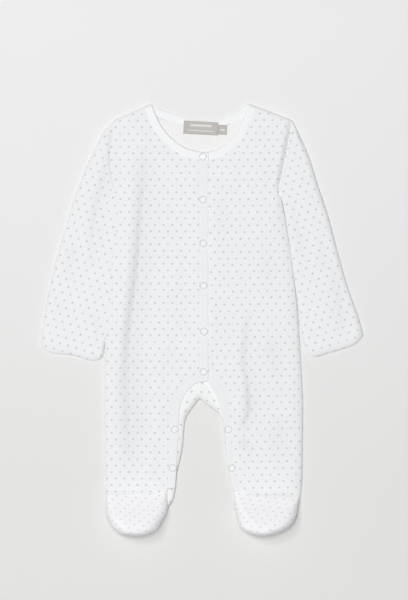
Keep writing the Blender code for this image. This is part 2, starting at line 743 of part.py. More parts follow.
def back_blocks():
    outer_cells, inner_cells = BACK_CELLS
    edge = crotch_edge()
    seam = back_seam(SEAM)
    middle = len(NECK_BACK) // 2
    crotch = edge[CROTCH]
    halves = {}
    for which in ("right", "left"):
        corner = fold_points(which)
        tops = shoulder_line(which, corner[0], outer_cells)
        neck_stations = seam[: middle + 1] if which == "right" else seam[: middle - 1 : -1]
        tops += [corner[2], *neck_stations]
        cells = outer_cells + inner_cells
        bottoms = [(x, ARMPIT) for x in across(side[which](ARMPIT), crotch[0], cells)]
        shoulder_count = len(ROLL_ANGLES) + outer_cells - 1
        rows = []
        for points in yoke_rows(which, tops, bottoms, shoulder_count, BACK_YOKE):
            rows.append([back_point(which, x, y, points[0][0]) for x, y in points])
        sections = [(y, crotch[0], y) for y in BACK_SECTIONS]
        stations = range(CROTCH, -1, -1) if which == "right" else range(CROTCH, len(GUSSET))
        sections += [(GUSSET[i][5], edge[i][0], edge[i][1]) for i in stations]
        last = edge[0 if which == "right" else -1]
        sections.append((HEEL, last[0], HEEL))
        for side_y, inner_x, inner_y in sections:
            outer_x = side[which](side_y)
            row = []
            for x in across(outer_x, inner_x, cells):
                share = (x - outer_x) / (inner_x - outer_x)
                row.append(back_point(which, x, side_y + (inner_y - side_y) * share, outer_x))
            rows.append(row)
        halves[which] = rows
    return [(halves["right"], False), (halves["left"], False)]


# ---------------------------------------------------------------- sleeves
def sleeve_rows(which, outer_path, cuff_path, parting):
    """Closed rings from the armhole to the cuff, over the top from the outer fold and back beneath."""
    armhole = along([(x + OUT[which] * (SEAM + CURVE_CLEAR), y) for x, y in ARMHOLE[which]])
    space = curve(parting)
    low = cuff_path[-1][1]
    inner_path = [tuple(armhole(1.0))]
    for i in range(1, SLEEVE_STATIONS):
        y = ARMPIT + (low - ARMPIT) * i / SLEEVE_STATIONS
        inner_path.append((side[which](y) + OUT[which] * space(y), y))
    inner_path.append(cuff_path[-1])
    outer = along([tuple(armhole(0.0)), *outer_path[1:]])
    inner = along(inner_path)
    cuff = along(cuff_path)
    top = curve(SLEEVE_HEIGHT)
    sections = [(down, 0.0) for down in (0.0, *SLEEVE_SECTIONS, 1 - (HEM + HEM_STEP) / SLEEVE_LENGTH)]
    sections += [(1 - from_end / SLEEVE_LENGTH, HEM_RISE) for from_end in (HEM, CUFF_ROW, 0.0)]
    depth, width = GROOVE[which]
    rows = []
    for down, rise in sections:
        span = float(np.linalg.norm(inner(down) - outer(down)))
        folds = [away / span for away in roll_steps(angles=SLEEVE_ANGLES)]
        step = (1 - 2 * folds[-1]) / SLEEVE_CELLS
        shares = folds + [folds[-1] + step * (i + 1) for i in range(SLEEVE_CELLS)]
        shares += [1 - folds[1], 1.0]
        crown = top(down) + rise - depth * (1 - ease(down * SLEEVE_LENGTH / width))
        upper = []
        lower = []
        for share in shares:
            point = (1 - share) * outer(down) + share * inner(down)
            point += (1 - down) * armhole(share) + down * cuff(share)
            point -= (1 - share) * ((1 - down) * outer(0) + down * outer(1))
            point -= share * ((1 - down) * inner(0) + down * inner(1))
            middle = top(down) / 2
            risen = rolled(min(share, 1 - share) * span)
            upper.append((*point, middle + (crown - middle) * risen))
            lower.append((*point, middle - middle * risen))
        rows.append(upper + lower[::-1][1:-1])
    shifted = [(x + OUT[which] * COLLAR, y, z) for x, y, z in rows[0]]
    rows.insert(1, shifted)
    return rows


def sleeve_inside(rows):
    """The direction from a face of a sleeve to the middle of its height."""
    middles = [np.mean(np.array(row), axis=0) for row in rows]

    def direction(centre):
        nearest = min(middles, key=lambda middle: math.dist(middle[:2], centre[:2]))
        return Vector((0, 0, nearest[2] - centre.z))

    return direction


# ---------------------------------------------------------------- feet
def foot_xs(outer_x, inner_x, width):
    """x positions across a foot, close together round both folds, and the folds' width."""
    width = min(width, abs(outer_x - inner_x) * WIDEST_FOLD)
    sign = 1.0 if inner_x > outer_x else -1.0
    steps = roll_steps(width, FOOT_ANGLES)
    first = [outer_x + sign * step for step in steps]
    last = [inner_x - sign * step for step in steps[::-1]]
    cell = (last[0] - first[-1]) / FOOT_CELLS
    middle = [first[-1] + cell * (i + 1) for i in range(FOOT_CELLS - 1)]
    return first + middle + last, width


def foot_upper_rows(which, table):
    heel_y, _outer, heel_inner_x, _seam, _top, _under, heel_width = table[0]
    ankle_inner_x = ANKLE_RIGHT[-1][0] if which == "right" else ANKLE_LEFT[0][0]
    ankle_outer_y = ankle[which](OUT[which] * ANKLE_OUTER)
    rows = []
    for share in ANKLE_SECTIONS:
        outer_x = side[which](ankle_outer_y + (heel_y - ankle_outer_y) * share)
        inner_x = ankle_inner_x + (heel_inner_x - ankle_inner_x) * share
        xs, width = foot_xs(outer_x, inner_x, ROLL + (heel_width - ROLL) * share)
        row = []
        for x in xs:
            y = ankle[which](x) - ANKLE_GAP / 2
            y += (heel_y - y) * share
            seam = seam_height(y) + SEAM / 2
            risen = rolled(min(abs(x - outer_x), abs(x - inner_x)), width)
            row.append((x, y, seam + (body_top(y) - seam) * risen))
        rows.append(row)
    return rows + foot_rows(table, upper=True)


def foot_rows(table, upper):
    """Sections of a foot's upper or of its sole, from the heel to the toe."""
    rows = []
    for y, outer_x, inner_x, seam, top, under, width in table:
        xs, width = foot_xs(outer_x, inner_x, width)
        start = seam + SEAM / 2 if upper else seam - SEAM / 2
        end = top if upper else under
        row = []
        for x in xs:
            risen = rolled(min(abs(x - outer_x), abs(x - inner_x)), width)
            row.append((x, y, start + (end - start) * risen))
        rows.append(row)
    return rows


# ---------------------------------------------------------------- plackets and gusset
def placket_rows(which):
    seam_x, edge_x = LAP[which]
    start = NECK[which][1][1] - BINDING_WIDTH - SEAM
    end = ARCH[which][0][1]
    rows = []
    for i in range(PLACKET_CELLS):
        y = start + (end - start) * i / PLACKET_CELLS
        rows.append(strip_row((edge_x, y), (seam_x, y), band_height(which, y)))
    for sx, sy, ex, ey, top, _side_y in ARCH[which]:
        rows.append(strip_row((ex, ey), (sx, sy), top))
    return rows


def gusset_rows():
    """Sections of the gusset, from its lower edge round the fold to the edge beneath the bands."""
    rows = []
    for fold_x, fold_y, edge_x, edge_y, height, _side_y in GUSSET:
        fold = np.array((fold_x, fold_y))
        edge = np.array((edge_x, edge_y))
        inwards = (edge - fold) / np.linalg.norm(edge - fold)
        radius = height / 2
        row = [(*(fold + inwards * (radius + GUSSET_LIP)), 0.0)]
        for angle in GUSSET_ANGLES:
            point = fold + inwards * radius * (1 - math.cos(math.radians(angle)))
            row.append((*point, radius + radius * math.sin(math.radians(angle))))
        row.append((*((fold + inwards * radius + edge) / 2), height))
        row.append((*edge, height))
        rows.append(row)
    return rows


# ---------------------------------------------------------------- snaps and tapes
def add_snap(name, x, y, band_top):
    """An open ring: its half section turned round the snap's axis."""
    ring = bmesh.new()
    verts = [ring.verts.new((radius * MM, 0.0, height * MM)) for radius, height in SNAP_PROFILE]
    for first, second in zip(verts, verts[1:] + verts[:1]):
        ring.edges.new((second, first))
    mesh = bpy.data.meshes.new(name)
    ring.to_mesh(mesh)
    ring.free()
    thing = add_object(name, mesh, snap_enamel())
    turn = thing.modifiers.new("turn", "SCREW")
    turn.steps = SNAP_STEPS
    turn.render_steps = SNAP_STEPS
    turn.use_merge_vertices = True
    turn.merge_threshold = 0.00001
    thing.location = (x * MM, y * MM, (band_top + SEAM) * MM)


def add_tape(name, centre_x, centre_y, width, depth, thickness):
    """A thin woven tape that lies on the inside of the back neck."""
    tape = bmesh.new()
    bmesh.ops.create_cube(tape, size=MM, matrix=Matrix.Diagonal((width, depth, thickness, 1.0)))
    mesh = bpy.data.meshes.new(name)
    tape.to_mesh(mesh)
    tape.free()
    thing = add_object(name, mesh, label_tape())
    thing.rotation_euler = (0, 0, TAPE_TURN)
    thing.location = (centre_x * MM, centre_y * MM, (CLOTH + SEAM + thickness / 2) * MM)


# ---------------------------------------------------------------- the garment
def build():
    clear_scene()
    group = bpy.data.collections.new(COLLECTION)
    bpy.context.scene.collection.children.link(group)
    cloth("back", back_blocks(), velour(), above)
    for which, outer_path, cuff_path, parting, foot in (
        ("right", SLEEVE_RIGHT, CUFF_RIGHT, PART_RIGHT, FOOT_RIGHT),
        ("left", SLEEVE_LEFT, CUFF_LEFT, PART_LEFT, FOOT_LEFT),
    ):
        cloth("front_" + which, [(front_rows(which), False)], velour(), below)
        rings = sleeve_rows(which, outer_path, cuff_path, parting)
        cloth("sleeve_" + which, [(rings, True)], velour(), sleeve_inside(rings))
        cloth("placket_" + which, [(placket_rows(which), False)], plain_jersey(), below)
        cloth("foot_upper_" + which, [(foot_upper_rows(which, foot), False)], velour(), below)
        cloth("sole_" + which, [(foot_rows(foot, upper=False), False)], sole_velour(), above)
    cloth("neck_binding", [(binding_rows(), False)], plain_jersey(), towards_height(NECK_TOP / 2))
    cloth("gusset", [(gusset_rows(), False)], velour(), towards_height(GUSSET[CROTCH][4] / 2))
    for snap in SNAPS:
        add_snap(*snap)
    add_tape("label", *LABEL)
    add_tape("size_tab", *TAB)


build()
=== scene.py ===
"""Looks of a footed baby sleepsuit of dotted velour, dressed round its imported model.

Frame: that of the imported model. +Z is up, the neck is towards +Y and the wearer's right is at -X. Every
table and size below is in millimetres. The outline tables are those of the model's source, so each piece of
cloth takes the shape of its solid, in far smaller cells, and adds the soft creases, the puckers along the
seams and the dimples round the snaps.
"""

import math

import bmesh
import bpy
import numpy as np
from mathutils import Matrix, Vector


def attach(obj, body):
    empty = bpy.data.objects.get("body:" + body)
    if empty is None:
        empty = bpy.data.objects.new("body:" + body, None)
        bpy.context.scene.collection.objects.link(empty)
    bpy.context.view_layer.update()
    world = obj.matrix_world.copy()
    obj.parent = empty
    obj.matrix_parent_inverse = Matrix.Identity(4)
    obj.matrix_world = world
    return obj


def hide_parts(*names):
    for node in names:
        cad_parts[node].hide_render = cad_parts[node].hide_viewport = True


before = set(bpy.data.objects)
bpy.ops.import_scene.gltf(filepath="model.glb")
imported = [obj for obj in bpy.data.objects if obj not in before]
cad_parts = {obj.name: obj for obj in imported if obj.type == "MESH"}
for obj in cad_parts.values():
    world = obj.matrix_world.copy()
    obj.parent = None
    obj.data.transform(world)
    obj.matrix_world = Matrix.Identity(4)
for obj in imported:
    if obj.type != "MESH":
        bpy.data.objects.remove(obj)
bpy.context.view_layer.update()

MM = 0.001

# ---------------------------------------------------------------- sizes shared with the model's source
CLOTH = 1.6  # wall of every piece of cloth
SEAM = 0.3  # gap between two layers
ROLL = 5.0  # plan width of the round fold at the shoulders
BINDING_WIDTH = 10.5
UPPER_LAP = (-4.9, 7.8)  # x of the upper placket's seam and of its free edge
UNDER_LAP = (7.2, -4.6)
UPPER_TOP = 7.3
UNDER_TOP = 5.4
CROTCH_LIFT = 1.1  # the plackets rise this much towards the crotch
CROTCH_RUN = 60.0  # over this length
NECK_TOP = 6.2
ARMPIT = 168.7
HEEL = -243.1
HEEL_ROLL = 12.0
FIT = 22.0  # over this width a panel settles to the height of the band that it is sewn to

# Shoulder silhouettes, from the armhole to the neck: x, y
SHOULDER_RIGHT = ((-115.4, 258.4), (-111.8, 260.7), (-90.5, 269.8), (-66.5, 280.2))
SHOULDER_LEFT = ((117.9, 257.7), (115.3, 259.3), (97.1, 266.8), (76.3, 274.4), (60.5, 280.3))

# Armholes, from the shoulder to the armpit: x, y
ARMHOLE_RIGHT = (
    (-115.4, 258.4),
    (-116.7, 240.2),
    (-120.0, 220.7),
    (-120.6, 201.2),
    (-118.7, 184.3),
    (-114.8, 168.7),
)
ARMHOLE_LEFT = (
    (117.9, 257.7),
    (114.3, 241.5),
    (110.8, 224.6),
    (107.2, 203.8),
    (103.6, 186.9),
    (100.2, 168.7),
)

# Side seams, from the armpit to the toe: x, y
SIDE_RIGHT = (
    (-114.8, 168.7),
    (-117.4, 110.2),
    (-120.0, 77.7),
    (-123.9, 12.7),
    (-126.5, -45.8),
    (-127.3, -71.8),
    (-127.3, -130.3),
    (-126.4, -171.9),
    (-125.2, -213.5),
    (-125.2, -260.0),
)
SIDE_LEFT = (
    (100.2, 168.7),
    (104.9, 145.3),
    (110.8, 110.2),
    (116.6, 70.4),
    (121.3, 33.0),
    (124.8, -6.8),
    (128.3, -65.3),
    (129.6, -88.7),
    (129.6, -171.9),
    (128.7, -212.9),
    (126.4, -231.7),
    (124.0, -243.8),
    (122.5, -252.5),
)

# Neck edges of the two fronts, from the free end of the lap to the shoulder's fold: x, y
NECK_RIGHT = (
    (7.8, 217.6),
    (0.9, 217.4),
    (-16.0, 220.7),
    (-31.6, 229.0),
    (-44.6, 240.2),
    (-54.3, 253.2),
    (-64.5, 275.6),
)
NECK_LEFT = (
    (-4.6, 217.6),
    (0.9, 217.4),
    (15.2, 219.4),
    (30.8, 228.5),
    (43.8, 241.5),
    (52.9, 260.3),
    (58.8, 275.6),
)
# Neck edge of the back, from the wearer's right to the left: x, y
NECK_BACK = (
    (-60.6, 276.6),
    (-32.9, 265.7),
    (-13.4, 259.7),
    (3.5, 259.0),
    (20.4, 259.7),
    (37.3, 266.2),
    (54.6, 277.0),
)

# Upper placket from the crotch on, where it turns along the arch and down to the right ankle:
# seam x, seam y, free edge x, free edge y, top, y at the side seam of the front's section that ends there
ARCH_RIGHT = (
    (-4.9, -64.0, 7.8, -66.0, 8.4, -60.0),
    (-5.2, -70.4, 7.5, -79.8, 8.4, -70.0),
    (-9.0, -71.2, -2.6, -80.9, 8.2, -78.0),
    (-16.2, -74.0, -10.2, -83.8, 7.3, -86.0),
    (-24.2, -81.3, -17.2, -90.2, 6.8, -95.0),
    (-31.8, -91.4, -23.2, -98.4, 6.5, -105.0),
    (-37.4, -101.8, -27.6, -108.0, 6.5, -115.0),
    (-40.5, -114.5, -29.9, -119.0, 6.5, -126.0),
    (-41.7, -133.0, -30.7, -137.0, 6.5, -140.0),
    (-42.2, -152.0, -31.4, -154.0, 6.5, -156.0),
    (-43.1, -172.0, -32.5, -173.0, 6.5, -174.0),
    (-44.2, -191.0, -33.4, -191.0, 6.7, -194.0),
    (-45.3, -206.0, -34.4, -206.0, 7.3, -210.0),
    (-46.2, -219.4, -35.2, -218.4, 8.2, -228.3),
)
# Lower placket, which the upper one covers down the centre front and which ends at the left ankle
ARCH_LEFT = (
    (7.2, -62.0, -4.6, -62.0, 6.5, -60.0),
    (8.4, -69.6, 1.6, -77.4, 6.5, -70.0),
    (13.2, -72.6, 8.2, -83.2, 6.5, -79.0),
    (21.5, -79.8, 13.8, -91.4, 6.5, -88.0),
    (28.5, -91.4, 19.2, -102.6, 6.5, -98.0),
    (33.2, -104.5, 22.6, -112.8, 6.5, -109.0),
    (36.2, -117.5, 25.6, -122.6, 6.5, -121.0),
    (37.4, -131.0, 28.0, -134.0, 6.5, -134.0),
    (37.8, -147.0, 29.3, -148.0, 6.5, -149.0),
    (38.4, -161.5, 30.3, -161.5, 6.5, -163.0),
    (39.9, -178.0, 31.9, -178.0, 6.5, -179.0),
    (42.2, -192.0, 34.0, -192.0, 6.7, -195.0),
    (45.0, -208.0, 36.3, -208.0, 7.3, -212.0),
    (48.6, -223.6, 41.3, -223.0, 8.2, -231.9),
)

# Gusset, from the right heel over the crotch to the left heel: fold x, fold y, hidden edge x, hidden edge y,
# height, y at the side seam of the back's section that ends there
GUSSET = (
    (-43.6, -242.4, -48.5, -238.3, 8.4, -242.4),
    (-39.4, -237.6, -48.5, -234.4, 6.8, -237.6),
    (-36.6, -229.5, -47.5, -227.0, 5.0, -230.0),
    (-35.0, -218.0, -46.5, -217.5, 4.6, -219.0),
    (-33.1, -200.0, -44.5, -200.0, 4.6, -201.0),
    (-28.6, -181.0, -42.5, -183.0, 4.6, -183.0),
    (-25.0, -160.0, -41.5, -163.0, 4.6, -163.0),
    (-23.9, -143.0, -40.5, -142.0, 4.6, -146.0),
    (-21.8, -129.4, -39.0, -120.0, 4.6, -131.0),
    (-14.2, -116.6, -32.0, -99.0, 4.6, -118.0),
    (-8.2, -108.6, -20.0, -84.0, 4.6, -108.0),
    (-3.4, -103.4, -4.0, -74.5, 4.6, -99.0),
    (3.5, -108.8, 11.0, -78.0, 4.6, -108.0),
    (14.5, -116.8, 25.0, -92.0, 4.6, -118.0),
    (22.0, -122.6, 33.0, -110.0, 4.6, -127.0),
    (26.8, -131.6, 36.0, -125.0, 4.6, -136.0),
    (28.4, -146.0, 37.0, -145.0, 4.6, -149.0),
    (29.6, -163.0, 38.0, -162.0, 4.6, -165.0),
    (31.4, -180.0, 40.0, -179.0, 4.6, -181.0),
    (33.6, -193.5, 42.0, -192.5, 4.6, -195.0),
    (36.2, -209.5, 45.0, -208.5, 4.6, -211.0),
    (41.2, -223.0, 48.5, -222.5, 4.8, -224.0),
    (42.0, -232.0, 49.0, -231.0, 5.8, -232.5),
    (42.6, -242.4, 49.5, -240.4, 8.4, -242.4),
)
GUSSET_LIP = 0.6  # the gusset runs on this far beneath, to its seam with the back
CROTCH = 11  # the section of the gusset at the top of the crotch

# Ankle seams, from the viewer's left to the right: x, y
ANKLE_RIGHT = ((-125.2, -228.5), (-94.0, -227.2), (-68.0, -226.1), (-53.7, -224.6), (-46.6, -222.6))
ANKLE_LEFT = (
    (41.5, -223.6),
    (49.0, -224.4),
    (65.5, -228.3),
    (84.1, -229.4),
    (108.4, -230.2),
    (126.4, -232.1),
)
ANKLE_INNER = {"right": ANKLE_RIGHT[-1][0], "left": ANKLE_LEFT[0][0]}
ANKLE_OUTER = 126.0  # how far from the middle an ankle seam meets its side seam

# Heights down the length of the body: y, top, side seam
BODY_HEIGHT = (
    (300.0, 7.0, 3.5),
    (-150.0, 7.0, 3.5),
    (-190.0, 7.2, 3.8),
    (-210.0, 7.8, 4.3),
    (-228.0, 9.4, 5.6),
    (-234.0, 14.0, 7.0),
    (-243.8, 22.0, 9.3),
)

# Feet, from the heel to the toe: y, outer x, inner x, seam height, upper's top, sole's underside, roll width
FOOT_RIGHT = (
    (-243.8, -125.2, -44.6, 9.3, 22.0, 0.0, 12.0),
    (-252.5, -124.8, -47.3, 14.0, 30.5, 1.2, 17.0),
    (-260.3, -121.6, -51.6, 19.5, 38.0, 7.0, 21.0),
    (-266.8, -118.0, -55.5, 24.5, 43.6, 14.0, 24.0),
    (-272.0, -113.5, -58.9, 29.0, 46.8, 20.5, 24.0),
    (-275.9, -108.3, -65.4, 32.5, 46.6, 25.5, 20.0),
    (-278.5, -99.2, -72.8, 35.0, 43.4, 30.2, 12.0),
    (-279.8, -92.4, -77.6, 36.2, 40.2, 33.0, 7.0),
    (-280.2, -88.5, -81.5, 36.4, 38.2, 34.6, 3.0),
    (-280.3, -88.0, -82.0, 36.4, 36.8, 36.0, 2.8),
)
FOOT_LEFT = (
    (-243.8, 124.0, 41.6, 9.3, 22.0, 0.0, 12.0),
    (-252.5, 122.5, 44.3, 14.0, 30.5, 1.2, 17.0),
    (-260.3, 119.4, 45.9, 19.5, 38.0, 7.0, 21.0),
    (-266.8, 114.7, 47.8, 24.5, 43.6, 14.0, 24.0),
    (-272.0, 107.6, 51.2, 29.0, 46.8, 20.5, 24.0),
    (-275.9, 98.6, 58.6, 32.5, 46.6, 25.5, 20.0),
    (-278.5, 89.3, 66.6, 35.0, 43.4, 30.2, 12.0),
    (-279.8, 84.2, 72.0, 36.2, 40.2, 33.0, 7.0),
    (-280.2, 81.0, 75.6, 36.4, 38.2, 34.6, 3.0),
    (-280.3, 80.5, 76.1, 36.4, 36.8, 36.0, 2.0),
)

# Sleeves: outer edge from the shoulder to the cuff, and the cuff from its outer to its inner corner: x, y
SLEEVE_RIGHT = (
    (-115.4, 258.4),
    (-128.6, 243.6),
    (-137.9, 224.8),
    (-147.3, 206.4),
    (-156.7, 183.0),
    (-166.0, 159.6),
    (-175.4, 127.1),
    (-189.4, 80.3),
    (-201.1, 28.3),
    (-205.8, 0.2),
    (-208.9, -36.0),
)
CUFF_RIGHT = ((-208.9, -36.0), (-203.6, -39.8), (-169.4, -45.8), (-134.5, -51.5), (-129.4, -48.4))
SLEEVE_LEFT = (
    (117.9, 257.7),
    (128.3, 234.2),
    (136.5, 215.5),
    (149.4, 175.7),
    (163.4, 133.6),
    (176.3, 84.4),
    (189.2, 40.0),
    (203.2, 0.2),
    (208.9, -20.0),
)
CUFF_LEFT = ((208.9, -20.0), (199.5, -30.4), (184.2, -37.2), (163.4, -43.2), (144.7, -47.8), (137.0, -45.0))
# Space between a sleeve's inner edge and the side seam: y, space
PART_RIGHT = ((170.0, -1.0), (150.0, -6.0), (70.0, -6.0), (-12.0, -6.0), (-30.0, 0.5), (-50.0, 2.8))
PART_LEFT = ((170.0, 1.0), (30.0, 1.0), (5.0, 2.0), (-30.0, 5.3), (-46.0, 9.4))
# Sections down a sleeve as a share of its length, and its height there
SLEEVE_HEIGHT = ((0.0, 7.0), (0.6, 6.6), (1.0, 6.2))
SLEEVE_LENGTH = 250.0
HEM = 14.0  # depth of the turned cuff
HEM_RISE = 0.35
HEM_EDGE = 0.6  # the rise takes this far either way
HEM_LINE = 0.25  # depth of its stitched line
HEM_LINE_REACH = 0.9
HEM_END = 2.3  # how far its folded end rounds down
HEM_ROUND = 9.0  # over this length
# Dip of the cloth along each armhole seam: depth, width
GROOVE = {"right": (0.8, 11.0), "left": (2.3, 7.5)}
GROOVE_FADE = 6.0  # above the armpit it deepens over this length

# Snaps: name, x, y, top of the band beneath
SNAPS = (
    ("snap_cf_1", 0.5, 211.8, 7.3),
    ("snap_cf_2", 0.5, 156.1, 7.3),
    ("snap_cf_3", 0.9, 99.4, 7.3),
    ("snap_cf_4", 1.2, 44.5, 7.3),
    ("snap_cf_5", 1.9, -15.3, 7.6),
    ("snap_cf_6", 1.4, -67.4, 8.4),
    ("snap_leg_right_1", -36.3, -142.3, 6.5),
    ("snap_leg_right_2", -38.6, -192.5, 6.8),
    ("snap_leg_left_1", 33.4, -142.3, 6.5),
    ("snap_leg_left_2", 38.2, -192.5, 6.8),
)

# Tapes on the inside of the back neck: centre x, centre y, width, depth, thickness
LABEL = (-2.0, 249.2, 44.5, 17.0, 0.6)
TAB = (26.2, 246.9, 11.0, 12.6, 0.6)
TAPE_TURN = 3.0  # degrees clockwise

SIDES = ("right", "left")
SHOULDER = {"right": SHOULDER_RIGHT, "left": SHOULDER_LEFT}
ARMHOLE = {"right": ARMHOLE_RIGHT, "left": ARMHOLE_LEFT}
NECK = {"right": NECK_RIGHT, "left": NECK_LEFT}
ARCH = {"right": ARCH_RIGHT, "left": ARCH_LEFT}
FOOT = {"right": FOOT_RIGHT, "left": FOOT_LEFT}
SLEEVE = {"right": (SLEEVE_RIGHT, CUFF_RIGHT, PART_RIGHT), "left": (SLEEVE_LEFT, CUFF_LEFT, PART_LEFT)}
LAP = {"right": UPPER_LAP, "left": UNDER_LAP}
LAP_HEIGHT = {"right": UPPER_TOP, "left": UNDER_TOP}
OUT = {"right": -1.0, "left": 1.0}  # the direction of x from the centre front to the side seam


# ---------------------------------------------------------------- sizes of the looks
FOLD_ANGLES = (0.0, 5.0, 12.0, 20.0, 30.0, 41.0, 53.0, 66.0, 78.0, 90.0)  # points round each fold
CELL = 2.6  # side of a cell of the panels
FINE = 1.3  # side of a cell of the bands
TURNING_ROWS = 6  # over these last rows a front turns from its straight sections to the ankle's curve
BAND_COLUMNS = 13  # points across a band's right side
BAND_ANGLES = (60.0, 30.0, 0.0, -30.0, -60.0)  # points round a band's edge
# Rings of a sleeve: share of its length near the seam, length near the cuff, and rings before, between, after
SLEEVE_RINGS = (0.06, 9.0, 10, 84, 14)
SLEEVE_CELLS = 26  # across, between the folds
FOOT_CELLS = 14
FOOT_STEP = 1.8
FOOT_ROWS = 11  # between the ankle seam and the heel
NARROWEST = 0.48  # a foot's fold takes up no more than this share of it
GUSSET_ARC = 15  # points round the gusset's fold
GUSSET_FLAT = 8
FOLD_STEP = 8.0  # length of a stretch of a soft fold's path
SLOPE = 1.09  # a step across the shoulder's fold along the armhole, over the same step square to the fold
ROLL_GROWS = 40.0  # a fold widens from the shoulder's width to its own over this length
# The round fold along each side seam: y from which it widens, and its plan width in the end
EDGE_ROLL = {"right": (-8.0, 9.0), "left": (168.7, 17.0)}
SLEEVE_ROLL = {"right": (9.0, 5.0), "left": (9.0, 9.0)}  # plan widths of a sleeve's outer and inner fold
HEEL_ROLL_FROM = (-215.0, 28.0)  # the back's side fold widens from this y down, over this length
# The gusset's fold, above: x of the fold, plan width
GUSSET_ROLL = ((-44.0, 8.0), (-21.0, 9.0), (-3.4, 10.5), (14.5, 9.0), (26.8, 6.0), (42.0, 5.5))
EDGE_GAP = 0.06  # half the space between the two layers along a silhouette
ANKLE_DIP = {"right": 0.3, "left": 1.7}  # depth of the valley at each ankle seam, in those of other seams
DEEPEST = 3.0  # depth of the deepest folds
LOWEST_TOP = 2.6  # points above this height are on top of the garment
LEVEL = 0.9  # so is a band's section whose normal has at least this z
TUCK = 0.75  # a piece runs on this far beneath the one that it is sewn to
TUCK_DROP = 0.12  # and lies this much lower there
SEAM_DIP = 0.14  # the cloth dips this much at a sewn seam
SEAM_REACH = 1.9
# Puckers along a sewn seam: length of each wave over a full turn, its share, and where it starts
PUCKERS = ((2.3, 1.0, 0.0), (3.7, 0.7, 1.3), (6.1, 0.6, 0.4))
PUCKER_DEPTH = 0.08
PUCKER_REACH = {"panel": 7.0, "armhole": 6.0, "placket": 5.0, "binding": 4.0, "hem": 4.0}
BAND_CROWN = 0.12  # a band stands this much higher along its middle than at its edges
LAP_LIFT = 0.95  # the left front rises this far above the lower placket, to meet the upper one's edge
LAP_FIT = 9.0
LAP_FROM = (-74.0, 16.0)  # it does so above this y, at first over this length
# The binding keeps the placket's height this far from the middle, then changes over this length
NECK_LAP = (10.0, 26.0)
# Dimples of the cloth: depth, place and width of the ring round a snap, and depth and width of the whole
SNAP_RING = (0.3, 4.6, 2.4)
SNAP_DIMPLE = (0.25, 7.5)

# Soft folds. Each is a path from its upper end down:
# x, y, reach to the viewer's left, reach to the viewer's right, depth (a ridge where it is negative)
ARMHOLE_FOLD = (
    (-116.0, 262.0, 6.0, 13.0, 0.5),
    (-117.0, 236.0, 6.0, 13.0, 0.7),
    (-120.0, 205.0, 6.5, 13.0, 1.2),
    (-127.0, 175.0, 7.0, 13.0, 1.5),
    (-136.0, 140.0, 7.0, 14.0, 1.4),
    (-140.0, 101.0, 8.0, 14.0, 1.1),
    (-137.0, 62.0, 9.0, 12.0, 0.0),
)
LEFT_ARMHOLE_FOLD = (
    (116.5, 252.0, 3.0, 4.0, 0.0),
    (114.3, 241.5, 2.6, 4.0, 1.1),
    (110.8, 224.6, 2.6, 4.0, 1.9),
    (107.2, 203.8, 2.6, 4.0, 1.9),
    (103.6, 186.9, 2.6, 4.0, 1.5),
    (100.2, 168.7, 3.0, 4.0, 0.6),
    (99.0, 156.0, 3.0, 4.0, 0.0),
)
